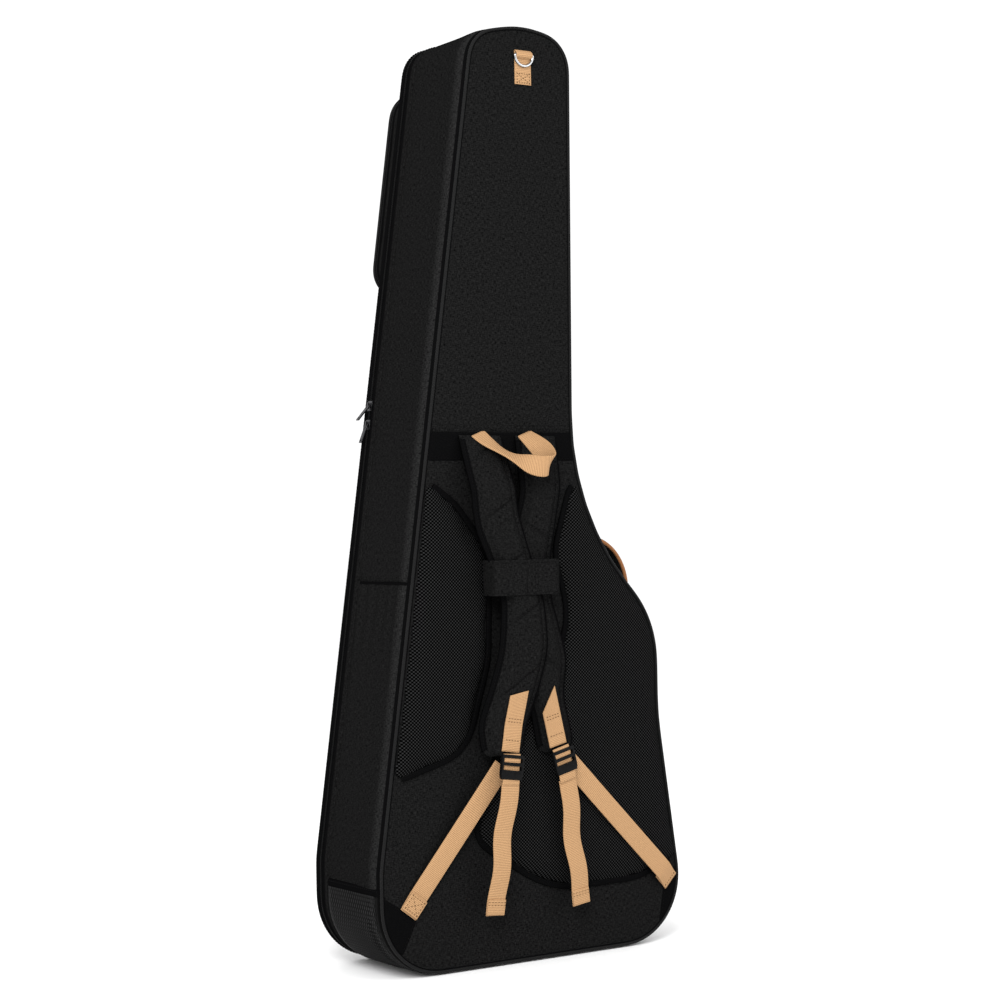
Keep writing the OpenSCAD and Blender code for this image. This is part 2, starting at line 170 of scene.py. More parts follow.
class Outline:
    """A closed run round a piece, counter-clockwise, which starts at the middle of its foot."""

    def __init__(self, loop, step=4 * MM, soften=3):
        points = softened(spread(loop, step, closed=True), soften, closed=True)
        foot = points[:, 1].min() + 0.5 * MM
        middle = points[points[:, 1] < foot, 0].mean()
        offsets = np.where(points[:, 1] < foot, np.abs(points[:, 0] - middle), np.inf)
        points = np.roll(points, -int(offsets.argmin()), axis=0)
        self.points = points
        run = unit(np.roll(points, -1, axis=0) - np.roll(points, 1, axis=0))
        self.normals = np.stack([run[:, 1], -run[:, 0]], axis=1)
        self.along = lengths_along(np.vstack([points, points[:1]]))
        self.length = self.along[-1]
        self.top = int(points[:, 1].argmax())

    def at(self, along):
        """Points and outward normals at lengths along the run."""
        along = np.asarray(along) % self.length
        ends = [np.vstack([run, run[:1]]) for run in (self.points, self.normals)]
        place, normal = [
            np.stack([np.interp(along, self.along, run[:, k]) for k in (0, 1)], axis=-1)
            for run in ends
        ]
        return place, unit(normal)

    def sides(self):
        """The points of the right side and of the left side, as slices."""
        return slice(0, self.top + 1), slice(self.top, None)

    def ends(self, inset):
        """Foot and head of the outline, each drawn in by inset."""
        return self.points[:, 1].min() + inset, self.points[:, 1].max() - inset

    def find(self, height, side):
        """Length along the run at a height, on its right (1) or left (-1) side."""
        right, left = self.sides()
        if side > 0:
            heights = np.maximum.accumulate(self.points[right, 1])
            return float(np.interp(height, heights, self.along[:-1][right]))
        heights = np.maximum.accumulate(self.points[left, 1][::-1])
        return float(np.interp(height, heights, self.along[:-1][left][::-1]))

    def span(self, heights):
        """Left and right ends of the outline at each height."""
        right, left = self.sides()
        found = []
        for run in (self.points[left][::-1], self.points[right]):
            rising = np.maximum.accumulate(run[:, 1]) + np.arange(len(run)) * 1e-9
            found.append(np.interp(heights, rising, run[:, 0]))
        return found

    def span_at(self, height):
        """Left and right end of the outline at one height."""
        return [float(x[0]) for x in self.span(np.array([height]))]

    def depth(self, x, z):
        """How far inside the outline each point lies."""
        found = np.empty(x.shape)
        for i in range(len(x)):
            apart = np.hypot(x[i][:, None] - self.points[:, 0], z[i][:, None] - self.points[:, 1])
            found[i] = apart.min(axis=1)
        return found


# ---- Modelling ----

def deselect():
    """Leaves edit mode and selects nothing."""
    if bpy.context.object and bpy.context.object.mode != "OBJECT":
        bpy.ops.object.mode_set(mode="OBJECT")
    bpy.ops.object.select_all(action="DESELECT")


def only(obj):
    """Selects one object and makes it the active one."""
    deselect()
    obj.select_set(True)
    bpy.context.view_layer.objects.active = obj


def edit(obj, *steps):
    """Runs edit-mode steps, each an operator and its settings, on the whole mesh."""
    only(obj)
    bpy.ops.object.mode_set(mode="EDIT")
    bpy.ops.mesh.select_all(action="SELECT")
    for operator, settings in steps:
        operator(**settings)
    bpy.ops.object.mode_set(mode="OBJECT")


def modify(obj, kind, **settings):
    """Adds one modifier and applies it."""
    only(obj)
    modifier = obj.modifiers.new(kind.lower(), kind)
    for name, value in settings.items():
        setattr(modifier, name, value)
    bpy.ops.object.modifier_apply(modifier=modifier.name)


def thicken(obj, thickness):
    """Gives a sheet its thickness, inwards from its right side."""
    modify(obj, "SOLIDIFY", thickness=thickness, offset=-1)


def join_seams(obj):
    edit(obj, (bpy.ops.mesh.remove_doubles, {"threshold": MERGE}))


def faces_outward(obj):
    edit(obj, (bpy.ops.mesh.normals_make_consistent, {"inside": False}))


def close_ends(obj):
    """Caps the open ends of a tube."""
    only(obj)
    bpy.ops.object.mode_set(mode="EDIT")
    bpy.ops.mesh.select_mode(type="EDGE")
    bpy.ops.mesh.select_all(action="DESELECT")
    bpy.ops.mesh.select_non_manifold()
    bpy.ops.mesh.fill_holes(sides=0)
    bpy.ops.mesh.select_all(action="SELECT")
    bpy.ops.mesh.normals_make_consistent(inside=False)
    bpy.ops.object.mode_set(mode="OBJECT")


def lay_uv(mesh, layer, uv):
    """Gives each corner of a mesh's faces the UV of its vertex."""
    owner = np.empty(len(mesh.loops), dtype=int)
    mesh.loops.foreach_get("vertex_index", owner)
    layer.data.foreach_set("uv", uv[owner].ravel())


def cloth_grid(name, points, uv, facing=None, closed=False):
    """A grid of fabric laid over points. facing is the way its right side looks."""
    if facing is not None:
        across = np.cross(points[:-1, 1:] - points[:-1, :-1], points[1:, :-1] - points[:-1, :-1])
        if (across * np.asarray(facing)).sum() < 0:
            points, uv = points[::-1], uv[::-1]
    rows, columns = points.shape[:2]
    deselect()
    bpy.ops.mesh.primitive_grid_add(x_subdivisions=columns - 1, y_subdivisions=rows - 1, size=1)
    obj = bpy.context.object
    obj.name = obj.data.name = name
    mesh = obj.data
    mesh.vertices.foreach_set("co", np.ascontiguousarray(points, dtype=float).ravel())
    lay_uv(mesh, mesh.uv_layers[0], uv.reshape(-1, 2))
    mesh.update()
    if closed:
        join_seams(obj)
    return obj


def on_back_plane(a, b, level):
    """Outline coordinates are X and Z, and levels run along Y."""
    return np.stack([a, level, b], axis=-1)


def on_floor_plane(a, b, level):
    """Outline coordinates are X and Y, and levels run along Z."""
    return np.stack([a, b, level], axis=-1)


def rim(name, outline, along, profile, swell=None, lay=on_back_plane, closed=False):
    """A strip that follows an outline. profile is a run of [outwards, level]."""
    place, normal = outline.at(along)
    profile = np.asarray(profile)
    out = np.repeat(profile[:, :1], len(along), axis=1)
    level = np.repeat(profile[:, 1:], len(along), axis=1)
    if swell is not None:
        out = out + swell(along[None, :], level, place[None, :, 1])
    points = lay(place[:, 0] + out * normal[:, 0], place[:, 1] + out * normal[:, 1], level)
    across = lengths_along(profile)
    uv = np.stack(np.broadcast_arrays(along[None, :], across[:, None]), axis=-1)
    facing = lay(*np.broadcast_arrays(normal[:, 0], normal[:, 1], np.zeros_like(level)))
    return cloth_grid(name, points, uv, facing[:-1, :-1], closed)


def round_the(outline, step=5 * MM):
    """Lengths all the way round an outline."""
    return np.linspace(0, outline.length, int(outline.length / step) + 1)


def eased(start, end, count):
    """Numbers from start to end, closer together at both ends."""
    return start + (end - start) * (1 - np.cos(np.linspace(0, math.pi, count))) / 2


def panel(name, outline, level, side, rise, bottom, top, rows, columns):
    """A panel that fills an outline between two heights and stands out by rise(depth, x, z)."""
    z = eased(bottom, top, rows)
    left, right = outline.span(z)
    share = eased(0, 1, columns)
    x = left[:, None] + (right - left)[:, None] * share
    z = np.repeat(z[:, None], columns, axis=1)
    y = level + side * rise(outline.depth(x, z), x, z)
    return cloth_grid(name, np.stack([x, y, z], axis=-1), np.stack([x, z], axis=-1), (0, side, 0))


def sweep(name, path, aside, section, ends=None, closed=False, capped=True):
    """Carries a closed section along a path. aside is where the section's first axis points."""
    path = np.asarray(path, float)
    run = np.gradient(path, axis=0)
    if closed:
        run = np.roll(path, -1, axis=0) - np.roll(path, 1, axis=0)
    run = unit(run)
    aside = np.broadcast_to(np.asarray(aside, float), path.shape)
    out = unit(np.cross(run, aside))
    aside = unit(np.cross(out, run))
    section = np.vstack([section, section[:1]])
    scale = np.ones(len(path)) if ends is None else ends
    points = (path[None] + section[:, None, :1] * aside[None] * scale[None, :, None]
              + section[:, None, 1:] * out[None] * scale[None, :, None])
    along = lengths_along(path)
    if closed:
        points = np.concatenate([points, points[:, :1]], axis=1)
        along = lengths_along(np.vstack([path, path[:1]]))
    uv = np.stack(np.broadcast_arrays(lengths_along(section)[:, None], along[None, :]), axis=-1)
    obj = cloth_grid(name, points, uv, closed=True)
    if capped and not closed:
        close_ends(obj)
    else:
        faces_outward(obj)
    return obj


def round_section(radius, sides=10):
    turn = np.linspace(0, TAU, sides, endpoint=False)
    return np.stack([np.cos(turn), np.sin(turn)], axis=1) * radius


def web_section(width, thickness):
    """Section of webbing: flat, with soft selvedges."""
    w, t = width / 2, thickness / 2
    half = [[-w, 0], [-w + 0.3 * t, 0.7 * t], [-w + t, t], [-w / 3, t], [w / 3, t], [w - t, t],
            [w - 0.3 * t, 0.7 * t], [w, 0]]
    return np.array(half + [[-a, -b] for a, b in half[1:-1]])


def copies_of(name, shape, places, axes):
    """One mesh of many copies of a small shape, each with its own place and axes."""
    mesh = shape.data
    corners = places_of(mesh)
    faces = [tuple(p.vertices) for p in mesh.polygons]
    spots = (places[:, None] + np.einsum("kj,njc->nkc", corners, axes)).reshape(-1, 3)
    count = len(corners)
    every = [tuple(i + n * count for i in face) for n in range(len(places)) for face in faces]
    made = bpy.data.meshes.new(name)
    made.from_pydata(spots.tolist(), [], every)
    made.update()
    obj = bpy.data.objects.new(name, made)
    bpy.context.collection.objects.link(obj)
    bpy.data.objects.remove(shape)
    return obj


def bead(length, width, height, segments=6, rings=4):
    """A small rounded grain that lies along X."""
    deselect()
    bpy.ops.mesh.primitive_uv_sphere_add(segments=segments, ring_count=rings, radius=0.5)
    obj = bpy.context.object
    size = {"value": (length, width, height), "center_override": (0, 0, 0)}
    edit(obj, (bpy.ops.transform.resize, size))
    return obj


def stitches(name, runs, facing, pitch=4.2 * MM, length=3.1 * MM, thread=0.75 * MM):
    """Rows of stitches along runs of points. facing is the way the fabric looks."""
    places, axes = [], []
    for k, run in enumerate(runs):
        line = spread(run, pitch)
        ahead = unit(np.gradient(line, axis=0))
        up = facing[k] if isinstance(facing, list) else facing
        if callable(up):
            up = up(line)
        up = unit(np.broadcast_to(np.asarray(up, float), line.shape))
        aside = unit(np.cross(up, ahead))
        places.append(line)
        axes.append(np.stack([ahead, aside, np.cross(ahead, aside)], axis=1))
    grain = bead(length, thread, thread)
    return copies_of(name, grain, np.vstack(places), np.vstack(axes))


def done(obj, body, slot, material, *nodes):
    """Gives a piece its finish and its body, and hides the CAD nodes that it stands for."""
    obj.data.materials.clear()
    obj.data.materials.append(material)
    obj.data.polygons.foreach_set("use_smooth", [True] * len(obj.data.polygons))
    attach(obj, body)
    if nodes:
        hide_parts(*nodes)
    return obj


def refined(node, name, rounding, segments):
    """A merged copy of a CAD node's mesh with its hard edges rounded."""
    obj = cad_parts[node].copy()
    obj.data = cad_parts[node].data.copy()
    obj.name = obj.data.name = name
    obj.parent = None
    obj.matrix_world = Matrix.Identity(4)
    bpy.context.collection.objects.link(obj)
    edit(obj, (bpy.ops.mesh.remove_doubles, {"threshold": 0.01 * MM}),
         (bpy.ops.mesh.dissolve_limited, {"angle_limit": math.radians(2)}),
         (bpy.ops.mesh.normals_make_consistent, {"inside": False}))
    modify(obj, "BEVEL", width=rounding, segments=segments, limit_method="ANGLE",
           angle_limit=math.radians(40))
    return obj


def keep_edges(obj):
    """Shades a piece smooth between its hard edges."""
    only(obj)
    bpy.ops.object.shade_smooth_by_angle(angle=math.radians(35))


def flat_uv(obj):
    """A UV map straight from X and Z, in metres."""
    mesh = obj.data
    layer = mesh.uv_layers[0] if mesh.uv_layers else mesh.uv_layers.new(name="UVMap")
    lay_uv(mesh, layer, places_of(mesh)[:, [X, Z]])


FILL_STEPS = 20


def puff_up(obj, voxel, pressure, cap):
    """Fills a closed pad with a short cloth simulation. No point moves further than cap."""
    modify(obj, "REMESH", mode="VOXEL", voxel_size=voxel)
    before = places_of(obj.data)
    only(obj)
    cloth = obj.modifiers.new("fill", "CLOTH")
    cloth.settings.use_pressure = True
    cloth.settings.uniform_pressure_force = pressure
    cloth.settings.effector_weights.gravity = 0
    cloth.settings.quality = 4
    cloth.settings.tension_stiffness = 25
    cloth.settings.compression_stiffness = 25
    cloth.collision_settings.use_collision = False
    scene = bpy.context.scene
    for step in range(1, FILL_STEPS + 1):
        scene.frame_set(step)
    shaped = obj.evaluated_get(bpy.context.evaluated_depsgraph_get())
    after = places_of(shaped.data)
    obj.modifiers.remove(cloth)
    scene.frame_set(1)
    moved = after - before
    size = np.linalg.norm(moved, axis=1, keepdims=True)
    after = before + moved * np.minimum(1, cap / np.maximum(size, 1e-9))  # 1e-9 avoids a division by 0
    obj.data.vertices.foreach_set("co", after.ravel())
    obj.data.update()
    modify(obj, "SMOOTH", factor=0.5, iterations=3)
    flat_uv(obj)


def ripple(a, b, size, seed):
    """A smooth uneven wave over two coordinates, in the range of about -1 to 1."""
    total = 0
    for k in range(4):
        turn = seed + 1.7 * k
        reach = size / (1 + 0.45 * k)
        total = total + np.sin((a * math.cos(turn) + b * math.sin(turn)) * TAU / reach + 2.1 * turn)
    return total / 4


# ---- Finishes ----

class Graph:
    """A material's nodes, laid out by short calls."""

    def __init__(self, name, roughness=0.8, **sockets):
        self.material = bpy.data.materials.new(name)
        self.material.use_nodes = True
        self.tree = self.material.node_tree
        self.shader = self.tree.nodes["Principled BSDF"]
        self.shader.inputs["Roughness"].default_value = roughness
        for socket, value in sockets.items():
            self.shader.inputs[socket.replace("_", " ").title().replace("Ior", "IOR")].default_value = value

    def feed(self, node, key, value):
        if isinstance(value, bpy.types.NodeSocket):
            self.tree.links.new(value, node.inputs[key])
        else:
            node.inputs[key].default_value = value

    def node(self, kind, inputs=None, **settings):
        made = self.tree.nodes.new("ShaderNode" + kind)
        for name, value in settings.items():
            setattr(made, name, value)
        for key, value in (inputs or {}).items():
            self.feed(made, key, value)
        return made

    def coordinates(self, kind="UV"):
        return self.node("TexCoord").outputs[kind]

    def scaled(self, vector, scale, turn=0.0):
        settings = {"Vector": vector, "Scale": scale, "Rotation": (0, 0, turn)}
        return self.node("Mapping", settings).outputs["Vector"]

    def axis(self, vector, axis):
        return self.node("SeparateXYZ", {"Vector": vector}).outputs[axis]

    def sum(self, kind, a, b=0.0, c=0.0):
        return self.node("Math", {0: a, 1: b, 2: c}, operation=kind).outputs[0]

    def noise(self, vector, scale, detail=2.0, roughness=0.5):
        inputs = {"Vector": vector, "Scale": scale, "Detail": detail, "Roughness": roughness}
        return self.node("TexNoise", inputs).outputs["Fac"]

    def wave(self, value, pitch):
        """A cosine of a length with the given pitch, from 0 to 1."""
        turned = self.sum("COSINE", self.sum("MULTIPLY", value, TAU / pitch))
        return self.sum("MULTIPLY_ADD", turned, 0.5, 0.5)

    def between(self, value, start, end):
        inputs = {"Value": value, "From Min": start, "From Max": end}
        return self.node("MapRange", inputs, clamp=True).outputs["Result"]

    def blend(self, share, dark, light):
        mix = self.node("Mix", data_type="RGBA")
        self.feed(mix, 0, share)
        for key, colour in ((6, dark), (7, light)):
            self.feed(mix, key, colour if isinstance(colour, bpy.types.NodeSocket) else (*colour, 1))
        return mix.outputs[2]

    def finish(self, colour=None, height=None, strength=0.5, depth=0.4 * MM, roughness=None):
        if colour is not None:
            self.feed(self.shader, "Base Color", colour)
        if roughness is not None:
            self.feed(self.shader, "Roughness", roughness)
        if height is not None:
            inputs = {"Strength": strength, "Distance": depth, "Height": height}
            bump = self.node("Bump", inputs)
            self.feed(self.shader, "Normal", bump.outputs["Normal"])
        return self.material


def woven(name, dark, light, thread, highlight_at=None):
    """Cloth woven from two-tone yarn: short flecks along both threads over a fine weave.

    The last argument is how far across the cloth, in metres, a paler band is painted: a painted highlight
    along the side wall's rounded back edge."""
    g = Graph(name, roughness=0.75, specular_ior_level=0.0)
    place = g.coordinates()
    warp = g.noise(g.scaled(place, (1 / thread, 0.22 / thread, 0.5 / thread)), 1.0, 2.0)
    weft = g.noise(g.scaled(place, (0.22 / thread, 1 / thread, 0.5 / thread)), 1.0, 2.0)
    fleck = g.sum("MULTIPLY", g.sum("ADD", warp, weft), 0.5)
    share = g.between(fleck, 0.36, 0.68)
    u, v = g.axis(place, 0), g.axis(place, 1)
    weave = g.sum("MULTIPLY", g.wave(u, thread * 1.6), g.wave(v, thread * 1.6))
    height = g.sum("MULTIPLY_ADD", fleck, 1.2, weave)
    colour = g.blend(share, dark, light)
    # Painted highlight: near that distance across, the yarn is painted paler to stand for the light on the
    # side wall's rounded back edge.
    if highlight_at is not None:
        highlight_share = g.between(g.sum("ABSOLUTE", g.sum("SUBTRACT", v, highlight_at)), 13 * MM, 2 * MM)
        pale = g.blend(share, [c * 2.2 for c in dark], [c * 1.8 for c in light])
        colour = g.blend(highlight_share, colour, pale)
    return g.finish(colour, height, 0.5, 0.4 * MM)


CANVAS_THREAD = 0.95 * MM


def canvas_finish(looks):
    """Melange canvas of the panels."""
    return woven("melange_canvas", looks.canvas_dark, looks.canvas_light, CANVAS_THREAD)


def side_canvas_highlight_finish(looks):
    """The same canvas, with a painted highlight along the side wall's rounded back edge."""
    return woven("side_canvas_highlight", looks.canvas_dark, looks.canvas_light, CANVAS_THREAD, highlight_at=13 * MM)


def strap_canvas_finish(looks):
    """A slightly finer canvas for the straps, the band and the handle."""
    return woven("strap_canvas", looks.canvas_dark, looks.canvas_light, 0.9 * MM)


def binding_finish(looks):
    """Tan woven edge of the side handle."""
    return woven("tan_binding", [c * 0.7 for c in looks.binding], looks.binding, 0.7 * MM)


def edge_tape_finish(looks):
    """Dark ribbed tape that binds the edges."""
    g = Graph("edge_tape", roughness=0.6, specular_ior_level=0.0)
    place = g.coordinates()
    ribs = g.wave(g.axis(place, 1), 1.1 * MM)
    grain = g.noise(place, 900.0)
    share = g.sum("MULTIPLY", ribs, grain)
    return g.finish(g.blend(share, looks.tape_dark, looks.tape_light), ribs, 0.4, 0.3 * MM)


def piping_finish(looks):
    """Twill cover of the piping cord."""
    g = Graph("piping_cover", roughness=0.5, specular_ior_level=0.06)
    place = g.coordinates()
    twill = g.sum("ADD", g.axis(place, 0), g.axis(place, 1))
    ribs = g.wave(twill, 1.2 * MM)
    grain = g.noise(place, 800.0)
    colour = g.blend(g.sum("MULTIPLY", ribs, grain), looks.piping_dark, looks.piping_light)
    return g.finish(colour, ribs, 0.35, 0.3 * MM)


def mesh_finish(looks):
    """Spacer mesh: diamond holes in a staggered net. The holes are painted near-black as shade, and bright
    flecks on the threads are painted highlights.
    """
    g = Graph("air_mesh", roughness=0.55, specular_ior_level=0.0)
    place = g.coordinates()
    u, v = g.axis(place, 0), g.axis(place, 1)
    net = g.sum("MULTIPLY", g.sum("COSINE", g.sum("MULTIPLY", u, TAU / looks.mesh_pitch)),
                g.sum("COSINE", g.sum("MULTIPLY", v, TAU / (looks.mesh_pitch * 0.94))))
    thread = g.between(net, -0.15, 0.45)
    fibres = g.noise(place, 1400.0)
    lit = g.sum("MULTIPLY", thread, g.between(fibres, 0.1, 0.6))
    # Painted shade and highlight: the holes are near-black for the shade inside them, and the lit flecks of
    # thread are painted glints.
    colour = g.blend(lit, looks.mesh_hole_shade, looks.mesh_thread)
    return g.finish(colour, g.sum("MULTIPLY_ADD", fibres, 0.25, thread), 0.9, 0.9 * MM)


def guard_finish(looks):
    """Staggered crowns of the base guard, painted lighter as highlights, plain along its edge by the
    piping.
    """
    g = Graph("ribbed_guard", roughness=0.5, specular_ior_level=0.03)
    place = g.coordinates()
    grain = g.noise(place, 900.0, 3.0)
    around, level = g.axis(place, 0), g.axis(g.coordinates("Object"), 1)
    rib = sizes().guard_rib
    net = g.sum("MULTIPLY", g.sum("COSINE", g.sum("MULTIPLY", around, math.pi / rib)),
                g.sum("COSINE", g.sum("MULTIPLY", level, TAU / (rib * 0.9))))
    # Painted highlight: the crowns of the bumps get the lit colour, and the hollows between them get the
    # shadow colour.
    share = g.sum("MULTIPLY", g.between(net, 0.05, 0.75), g.sum("MULTIPLY_ADD", grain, 0.6, 0.4))
    plain = low("base_guard", Y) + 7 * MM
    share = g.sum("MULTIPLY", share, g.between(level, plain, plain + 2 * MM))
    return g.finish(g.blend(share, looks.guard_dark, looks.guard_highlight), grain, 0.3, 0.3 * MM)


def webbing_finish(looks):
    """Plain webbing: fine cross ribs of thick yarn, with painted highlights on the crowns of the ribs and
    painted shade between them, over a random grain.
    """
    g = Graph("tan_webbing", roughness=0.8, specular_ior_level=0.15)
    place = g.coordinates()
    across, along = g.axis(place, 0), g.axis(place, 1)
    ribs = g.wave(along, looks.web_rib)
    yarns = g.wave(g.sum("ADD", across, g.sum("MULTIPLY", along, 0.5)), 1.3 * MM)
    grain = g.noise(g.scaled(place, (900, 2600, 900)), 1.0)
    height = g.sum("ADD", ribs, g.sum("MULTIPLY", yarns, 0.5))
    # Partly painted light: the colour follows the ribs' height, giving painted highlights on the crowns and
    # painted shade in the grooves. The grain is the webbing's own random tone.
    share = g.between(g.sum("MULTIPLY_ADD", grain, 0.7, g.sum("MULTIPLY", height, 0.6)), 0.3, 1.15)
    dark = [c * 0.5 for c in looks.webbing]
    light = [min(1.0, c * 1.25) for c in looks.webbing]
    return g.finish(g.blend(share, dark, light), height, 0.55, 0.35 * MM)


def zip_finish(looks):
    """Dark twill tape of the zips."""
    g = Graph("zip_tape", roughness=0.7, specular_ior_level=0.0)
    place = g.coordinates()
    twill = g.wave(g.sum("ADD", g.axis(place, 0), g.axis(place, 1)), 1.0 * MM)
    grain = g.noise(place, 1200.0)
    colour = g.blend(g.sum("MULTIPLY", twill, grain), looks.tape_dark, looks.tape_light)
    return g.finish(colour, twill, 0.4, 0.25 * MM)


def sewing_thread(name, colour):
    """Twisted thread of one colour."""
    g = Graph(name, roughness=0.6, specular_ior_level=0.01)
    twist = g.noise(g.coordinates("Object"), 2600.0)
    return g.finish(g.blend(twist, [c * 0.55 for c in colour], colour), twist, 0.4, 0.1 * MM)


def thread_finish(looks):
    """Black thread for the dark fabrics."""
    return sewing_thread("black_thread", looks.thread)


def tan_thread_finish(looks):
    """Thread for the webbing, a shade darker than it."""
    return sewing_thread("tan_thread", [c * 0.36 for c in looks.webbing])


def nylon_finish(looks):
    """Nylon of the zip coils."""
    g = Graph("nylon_coil", roughness=0.4, specular_ior_level=0.06)
    grain = g.noise(g.coordinates("Object"), 900.0)
    return g.finish(g.blend(grain, looks.tape_dark, looks.thread), grain, 0.1, 0.1 * MM)


def plush_finish(looks):
    """Brushed pile of the lining."""
    g = Graph("plush_lining", roughness=0.95, sheen_weight=0.05, specular_ior_level=0.05)
    place = g.coordinates("Object")
    pile = g.noise(place, 1100.0, 3.0)
    brushed = g.noise(place, 26.0, 4.0)
    share = g.sum("MULTIPLY_ADD", brushed, 0.7, g.sum("MULTIPLY", pile, 0.3))
    return g.finish(g.blend(share, looks.plush_dark, looks.plush_light), pile, 0.8, 0.8 * MM)


def acetal_finish(looks):
    """Black moulded plastic of the ladder-locks."""
    g = Graph("black_acetal", roughness=0.22, specular_ior_level=0.05)
    scuff = g.noise(g.coordinates("Object"), 240.0, 4.0)
    colour = g.blend(scuff, (0.002, 0.002, 0.0022), (0.006, 0.006, 0.0062))
    return g.finish(colour, scuff, 0.08, 0.1 * MM, g.between(scuff, 0.0, 2.6))


def chrome_finish(looks):
    """Polished wire of the ring."""
    g = Graph("polished_steel", roughness=0.14, metallic=1.0)
    haze = g.noise(g.coordinates("Object"), 500.0, 4.0)
    colour = g.blend(haze, (0.30, 0.31, 0.32), (0.52, 0.53, 0.54))
    return g.finish(colour, haze, 0.04, 0.1 * MM, g.between(haze, -0.2, 4.0))


def gunmetal_finish(looks):
    """Dark plated metal of the sliders and pulls."""
    g = Graph("gunmetal", roughness=0.34, metallic=1.0)
    brush = g.noise(g.scaled(g.coordinates("Object"), (900, 900, 120)), 1.0, 3.0)
    colour = g.blend(brush, (0.02, 0.02, 0.021), (0.075, 0.075, 0.08))
    return g.finish(colour, brush, 0.1, 0.1 * MM, g.between(brush, -0.6, 2.4))


def floor_finish(looks):
    """Pale floor that takes the shadow."""
    g = Graph("pale_floor", roughness=0.6)
    cloud = g.noise(g.coordinates("Object"), 1.5, 2.0)
    return g.finish(g.blend(cloud, looks.floor, [min(1, c * 1.02) for c in looks.floor]))


RECIPES = {
    "canvas": canvas_finish, "side_canvas_highlight": side_canvas_highlight_finish, "strap_canvas": strap_canvas_finish,
    "edge_tape": edge_tape_finish, "piping": piping_finish, "mesh": mesh_finish,
    "guard": guard_finish, "webbing": webbing_finish, "binding": binding_finish,
    "zip": zip_finish, "coil": nylon_finish, "thread": thread_finish,
    "tan_thread": tan_thread_finish, "plush": plush_finish, "buckle": acetal_finish,
    "chrome": chrome_finish, "gunmetal": gunmetal_finish, "floor": floor_finish,
}
FINISHES = {}


def finish(name):
    """A finish by name, made the first time that it is asked for."""
    if name not in FINISHES:
        FINISHES[name] = RECIPES[name](bpy.context.scene.gig_bag_looks)
    return FINISHES[name]


class BagLooks(bpy.types.PropertyGroup):
    """Colours and pattern sizes."""

    def shade(title, text, colour):
        return FloatVectorProperty(name=title, description=text, default=colour, subtype="COLOR",
                                   size=3, min=0, max=1)

    canvas_dark: shade("Canvas, dark yarn", "Darker yarn of the main fabric", (0.0014, 0.0014, 0.0015))
    canvas_light: shade("Canvas, light yarn", "Lighter yarn of the main fabric", (0.0135, 0.0135, 0.0134))
    piping_dark: shade("Piping, dark", "Shadow colour of the edge cord", (0.001, 0.001, 0.0011))
    piping_light: shade("Piping, light", "Lit colour of the edge cord", (0.022, 0.022, 0.0222))
    tape_dark: shade("Tape, dark", "Shadow colour of the edge and zip tape", (0.0006, 0.0006, 0.0007))
    tape_light: shade("Tape, light", "Lit colour of the edge and zip tape", (0.0085, 0.0085, 0.0088))
    # Painted shade: the near-black seen in the mesh's holes. The thread colour is pale enough to stand for
    # glints.
    mesh_hole_shade: shade("Mesh holes", "Ground that shows through the air mesh", (0.0002, 0.0002, 0.0002))
    mesh_thread: shade("Mesh thread", "Thread of the air mesh", (0.024, 0.024, 0.0243))
    guard_dark: shade("Guard, dark", "Shadow colour of the base guard", (0.0008, 0.0008, 0.0008))
    # Painted highlight: the lit colour painted on the crowns of the guard's bumps.
    guard_highlight: shade("Guard, light", "Lit colour painted on the crowns of the base guard", (0.027, 0.027, 0.0273))
    webbing: shade("Webbing", "Tan webbing", (0.37, 0.215, 0.105))
    binding: shade("Handle binding", "Tan edge of the side handle", (0.27, 0.12, 0.052))
    thread: shade("Thread", "Sewing thread", (0.006, 0.006, 0.0062))
    plush_dark: shade("Plush, dark", "Shaded pile of the lining", (0.018, 0.018, 0.02))
    plush_light: shade("Plush, light", "Brushed pile of the lining", (0.06, 0.06, 0.065))
    floor: shade("Floor", "Floor under the bag", (0.95, 0.95, 0.95))
    mesh_pitch: FloatProperty(name="Mesh pitch", description="Distance between mesh holes",
                              default=4.3 * MM, unit="LENGTH", min=2 * MM, max=10 * MM)
    web_rib: FloatProperty(name="Webbing rib", description="Distance between the webbing's ribs",
                           default=1.95 * MM, unit="LENGTH", min=0.8 * MM, max=4 * MM)


class BagSizes(bpy.types.PropertyGroup):
    """Sizes of the sewing and the trim."""

    def size(title, text, value, least, most):
        return FloatProperty(name=title, description=text, default=value * MM, unit="LENGTH",
                             min=least * MM, max=most * MM)

    piping: size("Piping radius", "Radius of the cord in the edge piping", 1.9, 1, 4)
    skin: size("Fabric thickness", "Thickness of the sewn fabric", 1.2, 0.4, 3)
    crown: size("Back crown", "How far the padded back stands out of its seams", 0.9, 0, 4)
    stitch: size("Stitch pitch", "Distance between stitches", 4.2, 2, 8)
    flange: size("Strap flange", "Width of a strap's flat sewn edge", 8, 4, 12)
    quilt: size("Quilting distance", "Distance between a strap's quilted lines", 62, 30, 100)
    binding: size("Pad binding", "Width of the tape round a mesh pad", 7.5, 4, 12)
    pleat: size("Pleat distance", "Distance between the pleats under the side seam", 22, 10, 40)
    pleat_depth: size("Pleat depth", "Height of the pleats under the side seam", 1.7, 0, 3)
    guard_bump: size("Guard bump", "Height of the bumps on the base guard", 0.9, 0, 2)
    guard_rib: size("Guard rib", "Distance between the rows of the base guard", 4.9, 3, 8)


def sizes():
    """The panel's sizes, as they are set now."""
    return bpy.context.scene.gig_bag_sizes


# ---- Outlines and levels that many pieces share ----

